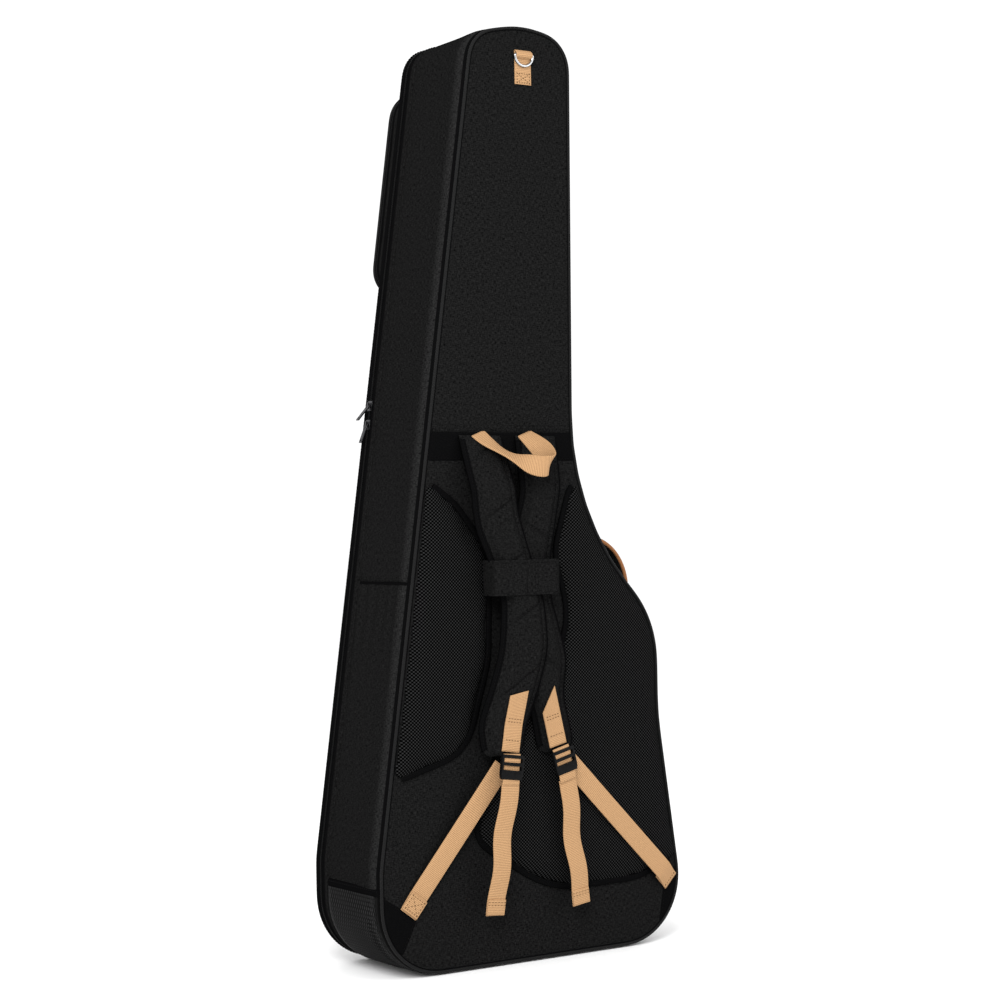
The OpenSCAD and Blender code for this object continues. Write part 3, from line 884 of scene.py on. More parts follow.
BODY = Outline(face_loop("lid_cover", Y, False))
BACK_Y = low("back_cover_upper", Y)
LID_Y = high("lid_cover", Y)
BORDER_Y = low("gusset_border", Y)
ZIP_Y = high("gusset_border", Y)
COIL_Y = (high("body_zip_tape", Y) + low("lid_zip_tape", Y)) / 2
STRAP_SEAM_Z = low("back_cover_upper", Z)
SIDE_SEAM_Z = low("gusset_upper", Z)
GUARD_Z = high("base_guard", Z)
HINGE_Z = low("hinge_strip", Z), high("hinge_strip", Z)
SEAM_ROWS = 4.5 * MM, 8.5 * MM  # How far over a seam its two rows of stitches run
WEB = 25 * MM  # Width of the webbing


def back_rise(depth):
    """How far the back panel stands out, this far inside the outline."""
    crown = sizes().crown * (1 - np.exp(-depth / (14 * MM)))
    return crown - 0.9 * MM * np.exp(-(depth / (3 * MM)) ** 2)


def on_back(run, lift):
    """Points on the back panel from a run of [x, z], lifted off the fabric."""
    run = np.asarray(run, float)
    depth = BODY.depth(run[None, :, 0], run[None, :, 1])[0]
    return np.stack([run[:, 0], BACK_Y - back_rise(depth) - lift, run[:, 1]], axis=1)


# ---- Back ----

class GIGBAG_OT_back(bpy.types.Operator):
    """Sews the two halves of the padded back and their seam."""
    bl_idname = "gig_bag.back"
    bl_label = "Back panel"

    def execute(self, context):
        seam = STRAP_SEAM_Z
        foot, head = BODY.ends(0.3 * MM)

        def rise(depth, x, z):
            tuck = np.exp(-(np.abs(z - seam) / (2.2 * MM)) ** 2) * 1.1 * MM
            drape = 0.5 * MM * ripple(x, z, 0.33, 0.4) * np.clip(depth / 0.05, 0, 1)
            return back_rise(depth) + drape - tuck
        for name, node, bottom, top, rows in (
                ("back_upper", "back_cover_upper", seam + 0.1 * MM, head, 130),
                ("back_lower", "back_cover_lower", foot, seam - 0.1 * MM, 150)):
            piece = panel(name, BODY, BACK_Y, BACK, rise, bottom, top, rows, 90)
            thicken(piece, sizes().skin)
            done(piece, "bag", "canvas", finish("canvas"), node)
        left, right = BODY.span_at(seam + 5 * MM)
        rows = []
        for lift in SEAM_ROWS:
            across = [[x, seam + lift] for x in np.linspace(left + 5 * MM, right - 5 * MM, 60)]
            rows.append(on_back(across, 0.1 * MM))
        sewn = stitches("back_seam_stitches", rows, (0, BACK, 0), sizes().stitch)
        done(sewn, "bag", "canvas", finish("thread"))
        return {"FINISHED"}


class GIGBAG_OT_piping(bpy.types.Operator):
    """Runs the covered cord round the edge of the back, with a dark flange either side of it that is
    painted shade for the grooves beside the cord.
    """
    bl_idname = "gig_bag.piping"
    bl_label = "Piping"

    def execute(self, context):
        place, normal = BODY.at(round_the(BODY, 4 * MM)[:-1])
        lift = 0.5 * MM
        path = on_back_plane(*(place + normal * 0.1 * MM).T, np.full(len(place), BACK_Y + lift))
        aside = on_back_plane(*normal.T, np.zeros(len(place)))
        cord = sweep("piping_cord", path, aside, round_section(sizes().piping, 12), closed=True)
        done(cord, "bag", "piping", finish("piping"), "back_piping")
        # Painted shade: the flange, in the darkest tape, shows a dark line either side of the cord that
        # stands for the shaded grooves there.
        knots = [(-3.8, 0.4), (-3.0, -0.3), (-1.0, 0.5), (0.5, 1.6), (0.9, 3.2), (2.0, 5.4), (2.9, 7.4),
                 (2.4, 8.2)]
        profile = profile_through([(o, BACK_Y + y * MM) for o, y in knots], 0.7 * MM, 1)
        flange = rim("piping_flange_groove_shade", BODY, round_the(BODY, 4 * MM), profile, closed=True)
        done(flange, "bag", "piping", finish("edge_tape"))
        return {"FINISHED"}


# ---- Side wall ----

def along_left_to_right(z_left, z_right, step=5 * MM):
    """Lengths from the left side at one height, round the foot, to the right side."""
    start, end = BODY.find(z_left, -1), BODY.find(z_right, 1) + BODY.length
    return np.linspace(start, end, int((end - start) / step))


def along_right_to_left(z_right, z_left, step=5 * MM):
    """Lengths from the right side at one height, over the top, to the left side."""
    start, end = BODY.find(z_right, 1), BODY.find(z_left, -1)
    return np.linspace(start, end, int((end - start) / step))


def end_tuck(along, reach=2.6 * MM, depth=2 * MM):
    """Fabric turned in at both ends of a strip."""
    near = np.minimum(along - along.min(), along.max() - along)
    return -depth * np.exp(-(near / reach) ** 2)


def row_across(height, side, lift, near, far, count):
    """A straight run across the side wall, lifted off the outline, and the way it faces."""
    place, normal = BODY.at([BODY.find(height, side)])
    spot = place[0] + normal[0] * lift
    level = np.linspace(near, far, count)
    run = np.stack([np.full(count, spot[0]), level, np.full(count, spot[1])], axis=1)
    return run, (normal[0][0], 0, normal[0][1])


class GIGBAG_OT_side_wall(bpy.types.Operator):
    """Sews the side wall: upper and lower fabric, with pleats below the seam."""
    bl_idname = "gig_bag.side_wall"
    bl_label = "Side wall"

    def execute(self, context):
        knots = [(-2.4, 1.2), (-0.4, 3.2), (1.8, 7), (3.2, 14), (3.6, 24), (2.5, 50), (1.9, 90), (1.5, 110),
                 (0.6, 118.8), (-0.3, 122)]
        profile = profile_through([(o, BACK_Y + y * MM) for o, y in knots], 3.2 * MM, 2)

        def drape(along, level, height):
            return 0.45 * MM * ripple(along, level, 0.21, 1.1) + end_tuck(along)

        def pleats(along, level, height):
            below = np.clip(SIDE_SEAM_Z - height, 0, None)
            fold = np.cos((level - BACK_Y) * TAU / sizes().pleat + 3 * ripple(along, level, 0.3, 2.2))
            fade = np.exp(-below / (75 * MM)) * (1 - np.exp(-below / (5 * MM)))
            fade = fade * np.clip((level - BACK_Y) / (12 * MM), 0, 1)
            return drape(along, level, height) + sizes().pleat_depth * fold * fade
        upper = rim("side_upper", BODY, along_right_to_left(SIDE_SEAM_Z, SIDE_SEAM_Z), profile, drape)
        dense = np.linspace(BODY.find(SIDE_SEAM_Z, -1), BODY.find(SIDE_SEAM_Z, 1) + BODY.length, 380)
        lower = rim("side_lower", BODY, dense, profile, pleats)
        for piece, node in ((upper, "gusset_upper"), (lower, "gusset_lower")):
            thicken(piece, sizes().skin)
            # The side wall's canvas has a painted highlight along its back edge.
            done(piece, "bag", "canvas", finish("side_canvas_highlight"), node)
        rows = []
        near, far = BACK_Y + 7 * MM, BORDER_Y - 2 * MM
        for side, name in ((-1, "left"), (1, "right")):
            seam = BODY.find(SIDE_SEAM_Z, side) + np.linspace(-1.5, 1.5, 4) * MM
            fold = rim("side_seam_" + name, BODY, seam, profile - np.array([0.9 * MM, 0]))
            done(fold, "bag", "canvas", finish("edge_tape"))
            rows += [row_across(SIDE_SEAM_Z + over, side, 1.9 * MM, near, far, 40) for over in SEAM_ROWS]
        runs, facing = zip(*rows)
        sewn = stitches("side_seam_stitches", runs, list(facing), sizes().stitch)
        done(sewn, "bag", "canvas", finish("thread"))
        return {"FINISHED"}


def rim_run(along, out, level):
    """Points that follow the outline at one distance outwards and one level."""
    place, normal = BODY.at(along)
    place = place + normal * out
    return np.stack([place[:, 0], np.full(len(place), level), place[:, 1]], axis=1)


def outward_at(line):
    """The way the side wall faces at points near it."""
    apart = np.hypot(line[:, None, 0] - BODY.points[:, 0], line[:, None, 2] - BODY.points[:, 1])
    normal = BODY.normals[apart.argmin(axis=1)]
    return np.stack([normal[:, 0], np.zeros(len(line)), normal[:, 1]], axis=1)


class GIGBAG_OT_border(bpy.types.Operator):
    """Sews the border strip by the zip, and its two rows of stitches."""
    bl_idname = "gig_bag.border"
    bl_label = "Zip border"

    def execute(self, context):
        width = ZIP_Y - BORDER_Y
        knots = [(-0.8, -0.4), (0.9, 0.2), (1.7, 1.6), (1.8, width / MM / 2), (1.7, width / MM - 1.6),
                 (1.0, width / MM - 0.2), (-0.8, width / MM + 0.3)]
        profile = profile_through([(o, BORDER_Y + y * MM) for o, y in knots], 0.9 * MM, 2)
        around = round_the(BODY)
        strip = rim("zip_border", BODY, around, profile, closed=True)
        done(strip, "bag", "canvas", finish("canvas"), "gusset_border")
        rows = [rim_run(around, 1.75 * MM, BORDER_Y + y) for y in (2 * MM, width - 2 * MM)]
        sewn = stitches("border_stitches", rows, outward_at, sizes().stitch)
        done(sewn, "bag", "canvas", finish("thread"))
        return {"FINISHED"}


def zipped():
    """Lengths round the outline where the lid has a zip: all but the hinge."""
    start, end = BODY.find(HINGE_Z[1] + 4 * MM, 1), BODY.find(HINGE_Z[0] - 4 * MM, 1) + BODY.length
    return np.linspace(start, end, int((end - start) / (5 * MM)))


def coil_teeth(name, along, side):
    """One half of a zip's coil: a tooth every turn, alternating with the other half."""
    pitch = 2.4 * MM
    line = spread(rim_run(along, 1.2 * MM, COIL_Y + side * 0.8 * MM), pitch)
    line = line + (pitch / 2 if side > 0 else 0) * unit(np.gradient(line, axis=0))
    ahead, out = unit(np.gradient(line, axis=0)), outward_at(line)
    aside = unit(np.cross(out, ahead))
    axes = np.stack([aside, ahead, out], axis=1)
    return copies_of(name, bead(3.2 * MM, 1.3 * MM, 1.5 * MM, 5, 3), line, axes)


class GIGBAG_OT_main_zip(bpy.types.Operator):
    """Sews both zip tapes, the coil and the fabric hinge."""
    bl_idname = "gig_bag.main_zip"
    bl_label = "Main zip"

    def execute(self, context):
        around = zipped()
        body_tape = [(0.4, ZIP_Y - 1.5 * MM), (0.9, ZIP_Y + 2 * MM), (0.9, COIL_Y - 2 * MM),
                     (0.7, COIL_Y - 0.3 * MM)]
        lid_tape = [(0.7, COIL_Y + 0.3 * MM), (0.9, COIL_Y + 2 * MM), (0.8, COIL_Y + 8 * MM)]
        for name, knots, body, node in (("body_zip", body_tape, "bag", "body_zip_tape"),
                                        ("lid_zip", lid_tape, "lid", "lid_zip_tape")):
            profile = profile_through(knots, 1 * MM, 1)
            run = around if body == "bag" else round_the(BODY)
            tape = rim(name + "_cloth", BODY, run, profile, closed=body == "lid")
            thicken(tape, 0.6 * MM)
            done(tape, body, "zip", finish("zip"), node)
            teeth = coil_teeth(name + "_coil", around, -1 if body == "bag" else 1)
            done(teeth, body, "zip", finish("coil"))
        knots = [(-0.6, ZIP_Y - 1 * MM), (0.9, ZIP_Y + 1.5 * MM), (0.9, COIL_Y - 1.5 * MM),
                 (0.2, COIL_Y - 0.3 * MM)]
        stretch = np.linspace(BODY.find(HINGE_Z[0] - 5 * MM, 1), BODY.find(HINGE_Z[1] + 5 * MM, 1), 72)
        strip = rim("hinge_cloth", BODY, stretch, profile_through(knots, 1 * MM, 1))
        thicken(strip, 0.8 * MM)
        done(strip, "bag", "canvas", finish("edge_tape"), "hinge_strip")
        return {"FINISHED"}


class GIGBAG_OT_guard(bpy.types.Operator):
    """Moulds the ribbed guard round the foot, and sews the hem along its top."""
    bl_idname = "gig_bag.guard"
    bl_label = "Base guard"

    def execute(self, context):
        near, far = low("base_guard", Y) - 0.4 * MM, high("base_guard", Y)
        rows_every, bumps_every = sizes().guard_rib, sizes().guard_rib * 0.9
        hem = 9 * MM
        around = along_left_to_right(GUARD_Z - hem, GUARD_Z - hem, rows_every / 4)
        level = np.linspace(near, far, int((far - near) / (bumps_every / 4)))
        edge = np.minimum(level - near, far - level)
        out = (3.0 - 2.6 * np.exp(-(edge / (1.6 * MM)) ** 1.5)) * MM

        def bumps(along, level, height):
            net = np.cos(along * math.pi / rows_every) * np.cos(level * TAU / bumps_every)
            inside = np.clip((np.minimum(level - near, far - level) - 5 * MM) / (3 * MM), 0, 1)
            return sizes().guard_bump * inside * np.clip(net, 0, 1) ** 0.7
        guard = rim("guard_cloth", BODY, around, np.stack([out, level], axis=1), bumps)
        done(guard, "bag", "guard", finish("guard"), "base_guard")
        knots = [(-0.4, near), (3.2, near + 1 * MM), (3.8, near + 3 * MM),
                 (3.8, far - 3 * MM), (3.2, far - 1 * MM), (-0.4, far)]
        profile = profile_through(knots, 1.6 * MM, 2)
        turned = np.array([0.2, 0.85, 1, 1, 1, 1, 1, 0.8, 0.1])  # Both edges of the hem are folded in
        rows = []
        for side, name in ((-1, "left"), (1, "right")):
            start, end = BODY.find(GUARD_Z - hem - 1 * MM, side), BODY.find(GUARD_Z, side)
            stretch = np.linspace(start, end, len(turned))
            strip = rim("guard_hem_" + name, BODY, stretch, profile,
                        lambda along, level, height: (turned - 1) * 2.2 * MM)
            thicken(strip, sizes().skin)
            done(strip, "bag", "canvas", finish("edge_tape"))
            rows.append(row_across(GUARD_Z - 2.6 * MM, side, 3.9 * MM, near + 3 * MM, far - 3 * MM, 30))
        runs, facing = zip(*rows)
        sewn = stitches("guard_hem_stitches", runs, list(facing), sizes().stitch)
        done(sewn, "bag", "canvas", finish("thread"))
        return {"FINISHED"}


# ---- Harness panel ----

def patch_on_back(name, node, lift, rows, columns, material, slot):
    """A flat piece on the back panel, cut to a CAD node's outline."""
    shape = Outline(face_loop(node, Y, False), 2.5 * MM, 1)
    foot, head = shape.ends(0.1 * MM)

    def rise(depth, x, z):
        under = back_rise(BODY.depth(x, z))
        return under + lift * (1 - np.exp(-(depth / (1.2 * MM)) ** 1.5)) - 0.2 * MM
    piece = panel(name, shape, BACK_Y, BACK, rise, foot, head, rows, columns)
    done(piece, "bag", slot, material, node)
    return shape


class GIGBAG_OT_patches(bpy.types.Operator):
    """Cuts the corner patches and the yoke, and stitches their edges."""
    bl_idname = "gig_bag.patches"
    bl_label = "Patches"

    def execute(self, context):
        rows = []
        for node in ("corner_patch_left", "corner_patch_right"):
            shape = patch_on_back(node + "_cloth", node, 1.1 * MM, 60, 40, finish("edge_tape"), "guard")
            inner = shape.points - shape.normals * 2.5 * MM
            rows.append(on_back(inner[away_from_piping(inner, 8 * MM)], 1.2 * MM))
        patch_on_back("yoke_cloth", "strap_yoke", 1.3 * MM, 24, 90, finish("edge_tape"), "canvas")
        left, right = BODY.span_at(low("strap_yoke", Z))
        hem = [[x, low("strap_yoke", Z) + 3 * MM] for x in np.linspace(left + 8 * MM, right - 8 * MM, 60)]
        rows.append(on_back(hem, 1.4 * MM))
        sewn = stitches("patch_stitches", rows, (0, BACK, 0), sizes().stitch)
        done(sewn, "bag", "canvas", finish("thread"))
        return {"FINISHED"}


def away_from_piping(run, least):
    """Which points of a closed run lie further than least inside the bag, in order along it."""
    inside = BODY.depth(run[None, :, 0], run[None, :, 1])[0] > least
    first = int(np.argmax(~inside & np.roll(inside, -1))) + 1
    return np.roll(np.arange(len(inside)), -first)[:int(inside.sum())]


def out_to_piping(loop):
    """The outline of a pad with its outer run moved out to the piping."""
    loop = spread(loop, 2 * MM, closed=True)
    apart = np.hypot(loop[:, None, 0] - BODY.points[:, 0], loop[:, None, 1] - BODY.points[:, 1])
    nearest, near = apart.argmin(axis=1), apart.min(axis=1) < 11.5 * MM
    edge = BODY.points[nearest] - BODY.normals[nearest] * 1.8 * MM
    return np.where(near[:, None], edge, loop)


class GIGBAG_OT_mesh_pads(bpy.types.Operator):
    """Fills the two air-mesh pads, and binds their free edges."""
    bl_idname = "gig_bag.mesh_pads"
    bl_label = "Mesh pads"

    def execute(self, context):
        rows = []
        for node, rows_up, columns in (("mesh_pad_left", 120, 60), ("mesh_pad_right", 160, 90)):
            shape = Outline(out_to_piping(face_loop(node, Y, False)), 3 * MM, 4)
            foot, head = shape.ends(0.2 * MM)
            thick = (high(node, Y) - low(node, Y)) - 2.2 * MM

            def rise(depth, x, z):
                return 0.8 * MM + thick * (1 - np.exp(-(depth / (11 * MM)) ** 1.25))
            pad = panel(node + "_cloth", shape, BACK_Y, BACK, rise, foot, head, rows_up, columns)
            modify(pad, "SOLIDIFY", thickness=4 * MM, offset=-1)
            puff_up(pad, 3.4 * MM, 4.0, 2.5 * MM)
            modify(pad, "SUBSURF", levels=1, render_levels=1)
            flat_uv(pad)
            done(pad, "bag", "mesh", finish("mesh"), node)
            rows.append(self.bind(node, shape))
        sewn = stitches("binding_stitches", rows, (0, BACK, 0), 3.6 * MM)
        done(sewn, "bag", "canvas", finish("thread"))
        return {"FINISHED"}

    def bind(self, node, shape):
        """Folds a tape over a pad's edge away from the piping, and returns its row of stitches."""
        order = away_from_piping(shape.points, 11 * MM)
        edge, normal = shape.points[order], shape.normals[order]
        half = sizes().binding / 2
        section = np.array([[-half, -0.4 * MM], [-half * 0.9, 0.9 * MM], [-half * 0.4, 1.5 * MM],
                            [half * 0.4, 1.5 * MM], [half * 0.9, 0.9 * MM], [half, -0.4 * MM]])
        path = on_back(edge + normal * 0.8 * MM, 1.3 * MM)
        aside = np.stack([normal[:, 0], np.zeros(len(normal)), normal[:, 1]], axis=1)
        tape = sweep(node + "_binding", path, -aside, section)
        done(tape, "bag", "canvas", finish("edge_tape"))
        return on_back(edge - normal * 1.6 * MM, 3.0 * MM)


# ---- Shoulder straps and webbing ----

def gathered(z, most):
    """How far the band draws the left strap's outer edge in at each height."""
    middle = (low("keeper_band", Z) + high("keeper_band", Z)) / 2
    return most * np.exp(-((z - middle) / (75 * MM)) ** 2)


class GIGBAG_OT_straps(bpy.types.Operator):
    """Builds the two padded shoulder straps with flat edges and quilted lines."""
    bl_idname = "gig_bag.straps"
    bl_label = "Shoulder straps"

    def execute(self, context):
        rows = []
        for node, slant in (("shoulder_strap_left", -1), ("shoulder_strap_right", 1)):
            rows += self.strap(node, slant)
        sewn = stitches("strap_stitches", rows, (0, BACK, 0), 3.8 * MM)
        done(sewn, "bag", "canvas", finish("thread"))
        return {"FINISHED"}

    def strap(self, node, slant):
        """Pads one strap and tapes its edges, and returns its rows of stitches."""
        bottom, top = low(node, Z) + 0.15 * MM, high(node, Z) - 0.2 * MM
        count = int((top - bottom) / (1.7 * MM))
        share = np.linspace(0, 1, count)
        z = bottom + (top - bottom) * share
        z[:12] = bottom + (z[12] - bottom) * (1 - np.cos(np.linspace(0, math.pi / 2, 13)[:12]))
        left, right, front, back = slices(node, z)
        sides = softened(np.stack([left, right, front, back], axis=1), 5)
        left, right, front, back = sides.T
        if slant < 0:
            left = left + gathered(z, 11 * MM)
        width = right - left
        flange = np.minimum(sizes().flange, width * 0.3)
        share = np.concatenate([[0, 0.01], np.linspace(0.03, 0.97, 34), [0.99, 1]])
        x = left + share[:, None] * width
        height = np.broadcast_to(z, x.shape)
        inside = np.minimum(x - left, right - x)
        full = np.abs(front - back)
        edge = np.minimum(3.4 * MM, full)
        fill = np.clip((inside - flange) / (10 * MM), 0, 1)
        fill = np.sin(fill * math.pi / 2) ** 0.8
        lift = edge + (full - edge) * fill
        lift *= np.clip(inside / (1.2 * MM), 0.25, 1) ** 0.5
        turn = math.radians(32)
        line = (z * math.cos(turn) + slant * x * math.sin(turn)) / sizes().quilt
        apart = np.abs(line - np.round(line)) * sizes().quilt
        drawn = np.minimum(3 * MM, lift * 0.4) * np.exp(-(apart / (2 * MM)) ** 2)
        lift = lift - drawn * (0.25 + 0.75 * fill)
        lift = lift + 0.35 * MM * ripple(x, height, 0.06, 0.9) * fill
        outer = np.stack([x, back - lift, height], axis=-1)
        flat = np.broadcast_to(back - 0.2 * MM, x.shape)
        under = np.stack([x[::-1], flat, height], axis=-1)[1:-1]
        ring = np.concatenate([outer, under, outer[:1]], axis=0)
        across = lengths_along(ring[:, len(z) // 2])
        uv = np.stack(np.broadcast_arrays(across[:, None], z[None, :]), axis=-1)
        piece = cloth_grid(node + "_pad", ring, uv, closed=True)
        close_ends(piece)
        done(piece, "bag", "canvas", finish("strap_canvas"), node)
        keep = (z > bottom + 8 * MM) & (z < top - 4 * MM)
        half = flange[len(z) // 2] / 2
        # Edge tape along both sides of the strap. Its dark colour also stands in as painted shade for the
        # shaded side of the strap.
        for base, sign, edge_name in ((left, 1, "left"), (right, -1, "right")):
            path = np.stack([base + sign * half * 0.8, back - edge / 2, z], axis=1)[keep]
            turned = np.array([[-1, -0.7], [-1, 0.7], [-0.8, 1], [0.6, 1], [1, 0.75], [1, -0.7]])
            section = turned * np.array([half, 0.55 * edge[len(z) // 2]])
            tape = sweep(f"{node}_tape_{edge_name}", path, (-sign, 0, 0), section)
            done(tape, "bag", "canvas", finish("edge_tape"))
        runs = []
        for off in (2.6 * MM, 6.0 * MM):
            for base, sign in ((left, 1), (right, -1)):
                y = back - edge - 0.1 * MM
                runs.append(np.stack([base + sign * off, y, z], axis=1)[keep])
        first, last = int(np.ceil(line.min())), int(line.max())
        middle = slice(6, len(x) - 6)
        for k in range(first, last + 1):
            near = np.abs(line[middle] - k)
            at = near.argmin(axis=1)
            good = (near.min(axis=1) < 0.02) & keep[at]
            if good.sum() > 4:
                runs.append(outer[middle][np.arange(len(at)), at][good] - np.array([0, 0.15 * MM, 0]))
        return runs


def strip_run(node):
    """Middle line of a CAD web that is cut square at both ends, as [x, y, z] from the top."""
    bottom, top = low(node, Z), high(node, Z)
    inner = np.linspace(bottom + WEB * 0.6, top - WEB * 0.6, 9)
    left, right = slices(node, inner)[:2]
    slope, start = np.polyfit(inner, (left + right) / 2, 1)
    reach = WEB / 2 * abs(slope) / math.hypot(1, slope)
    z = np.linspace(top - reach, bottom + reach, 60)
    front, back = slices(node, z)[2:]
    return np.stack([start + slope * z, (front + back) / 2, z], axis=1)


def webbing(name, path, width, thickness, body, *nodes):
    """A length of webbing along a path, with its selvedges kept flat."""
    path = softened(spread(path, 2.2 * MM), 4)
    aside = np.cross(unit(path[-1] - path[0]), (0, 1, 0))
    piece = sweep(name, path, aside, web_section(width, thickness))
    return done(piece, body, "webbing", finish("webbing"), *nodes)


def slant_end(web, start, run, drop, reach=0):
    """Cuts the start of a web on a slant that falls to the left by drop, or draws it out by reach."""
    places = places_of(web.data)
    along = (places - start) @ run
    across = (places[:, 0] - start[0] - along * run[0]) / WEB
    near = np.clip(1 - along / (60 * MM), 0, 1)
    shift = (np.clip(0.5 - across, 0, 1) * drop - reach) * near
    web.data.vertices.foreach_set("co", (places + shift[:, None] * run).ravel())
    web.data.update()


def box_stitch(centre, along, across, size):
    """A sewn box with its diagonals, as runs of points. size is (length, width)."""
    a, b = np.asarray(along) * size[0] / 2, np.asarray(across) * size[1] / 2
    corner = [centre - a - b, centre - a + b, centre + a + b, centre + a - b]
    runs = [np.array([corner[i], corner[(i + 1) % 4]]) for i in range(4)]
    runs += [np.array([corner[0], corner[2]]), np.array([corner[1], corner[3]])]
    return [spread(run, 1 * MM) for run in runs]


class GIGBAG_OT_webbing(bpy.types.Operator):
    """Lays the tan webbing: sewn ends, anchor straps and free tails."""
    bl_idname = "gig_bag.webbing"
    bl_label = "Webbing"

    def execute(self, context):
        sewn_length = 77 * MM
        rows = []
        for side in ("left", "right"):
            for kind in ("sewn_web", "anchor_web", "tail_web"):
                node = f"{kind}_{side}"
                path = strip_run(node)
                if kind == "tail_web":
                    share = np.linspace(0, 1, len(path))
                    loose = np.sin(share * math.pi) * np.sin(share * 3.2 * math.pi + (side == "left"))
                    path = path + loose[:, None] * np.array([2.2 * MM, -1.2 * MM, 0])
                web = webbing(node + "_tan", path, WEB, 2 * MM, "bag", node)
                run = unit(path[-1] - path[0])
                across = unit(np.cross(run, (0, 1, 0)))
                out = unit(np.cross(across, run))
                out = out if out[1] < 0 else -out
                if kind == "sewn_web":
                    slant_end(web, path[0], run, (9 if side == "left" else 28) * MM)
                    for back in (37 * MM, 40 * MM, 62 * MM):
                        centre = path[int(back / sewn_length * len(path))] + out * 1.3 * MM
                        rows.append(np.array([centre - across * 8 * MM, centre + across * 8 * MM]))
                if kind == "tail_web":
                    fold = path[-1] - run * np.linspace(19 * MM, 0.5 * MM, 12)[:, None] + out * 1.6 * MM
                    webbing(node + "_fold", fold, WEB * 0.99, 1.8 * MM, "bag")
                    for back in (16 * MM, 12.5 * MM):
                        centre = path[-1] - run * back + out * 2.65 * MM
                        rows.append(np.array([centre - across * 11 * MM, centre + across * 11 * MM]))
                if kind == "anchor_web":
                    slant_end(web, path[0], run, 0, 15 * MM)
                    fold = path[-1] - run * np.linspace(24 * MM, 1 * MM, 14)[:, None] + out * 1.4 * MM
                    webbing(node + "_fold", fold, WEB * 0.99, 1.6 * MM, "bag")
                    centre = path[-1] - run * 13 * MM + out * 2.4 * MM
                    rows += box_stitch(centre, run, across, (17 * MM, 19 * MM))
        sewn = stitches("webbing_stitches", rows, (0, BACK, 0), 3.4 * MM, 2.6 * MM, 0.8 * MM)
        done(sewn, "bag", "webbing", finish("tan_thread"))
        return {"FINISHED"}


class GIGBAG_OT_keeper(bpy.types.Operator):
    """Wraps the band round both straps, and stitches its hems."""
    bl_idname = "gig_bag.keeper"
    bl_label = "Strap band"

    def execute(self, context):
        node = "keeper_band"
        loop = face_loop(node, Z, True)
        span = np.array([loop[:, 0].min(), loop[:, 0].max()])
        loop[:, 0] = np.interp(loop[:, 0], span, span + (15 * MM, 0))
        ring = Outline(loop, 2 * MM, 5)
        bottom, top = low(node, Z), high(node, Z)
        knots = [(-0.9, bottom + 1 * MM), (0.0, bottom), (0.5, bottom + 1.5 * MM),
                 (0.2, bottom + 8 * MM), (0.3, (bottom + top) / 2), (0.2, top - 8 * MM),
                 (0.5, top - 1.5 * MM), (0.0, top), (-0.9, top - 1 * MM)]
        profile = profile_through(knots, 1.2 * MM, 1)
        around = np.linspace(0, ring.length, int(ring.length / (2.5 * MM)))

        def drape(along, level, height):
            return 0.5 * MM * ripple(along, level, 0.05, 0.7)
        band = rim("band_cloth", ring, around, profile, drape, on_floor_plane, closed=True)
        thicken(band, sizes().skin)
        done(band, "bag", "canvas", finish("strap_canvas"), node)
        front = ring.normals[:, 1] < -0.9
        face = ring.points[front]
        face = face[face[:, 0].argsort()]
        rows = []
        for z in (bottom + 4 * MM, top - 4 * MM):
            rows.append(np.stack([face[:, 0], face[:, 1] - 0.6 * MM, np.full(len(face), z)], axis=1))
        middle = (low(node, X) + high(node, X)) / 2 + 12 * MM
        for off in (0, 4 * MM):
            y = np.interp(middle + off, face[:, 0], face[:, 1]) - 0.6 * MM
            z = np.linspace(bottom + 4 * MM, top - 4 * MM, 20)
            rows.append(np.stack([np.full(20, middle + off), np.full(20, y), z], axis=1))
        sewn = stitches("band_stitches", rows, (0, BACK, 0), 3.8 * MM)
        done(sewn, "bag", "canvas", finish("thread"))
        return {"FINISHED"}


class GIGBAG_OT_haul_loop(bpy.types.Operator):
    """Bends the webbing of the haul loop."""
    bl_idname = "gig_bag.haul_loop"
    bl_label = "Haul loop"

    def execute(self, context):
        left, seam = low("haul_loop", X), STRAP_SEAM_Z
        wide, drop = high("haul_loop", X) - left, seam - low("haul_loop", Z)
        reach = BACK_Y - low("haul_loop", Y)
        # Shares of the loop's width, of how far it stands out and of its drop
        pulls = [(0.12, 0.02, 0.04), (0.36, 0.62, 0.9), (1.16, 0.92, 1.7), (0.76, 0.02, 0.04)]
        pulls = np.array([[left + a * wide, BACK_Y - c * reach, seam - b * drop] for a, b, c in pulls])
        t = np.linspace(0, 1, 110)[:, None]
        shares = [(1 - t) ** 3, 3 * t * (1 - t) ** 2, 3 * t ** 2 * (1 - t), t ** 3]
        path = sum(share * pull for share, pull in zip(shares, pulls))
        lean = np.sin(t ** 1.6 * math.pi)
        roll = 0.85 * np.exp(-((t - 0.24) / 0.13) ** 2) - 0.5 * np.exp(-((t - 0.78) / 0.16) ** 2)
        aside = np.concatenate([1 - 0.75 * lean, roll, lean], axis=1)
        loop = sweep("haul_loop_web", path, unit(aside), web_section(WEB, 2.2 * MM))
        done(loop, "haul_loop", "webbing", finish("webbing"), "haul_loop")
        return {"FINISHED"}


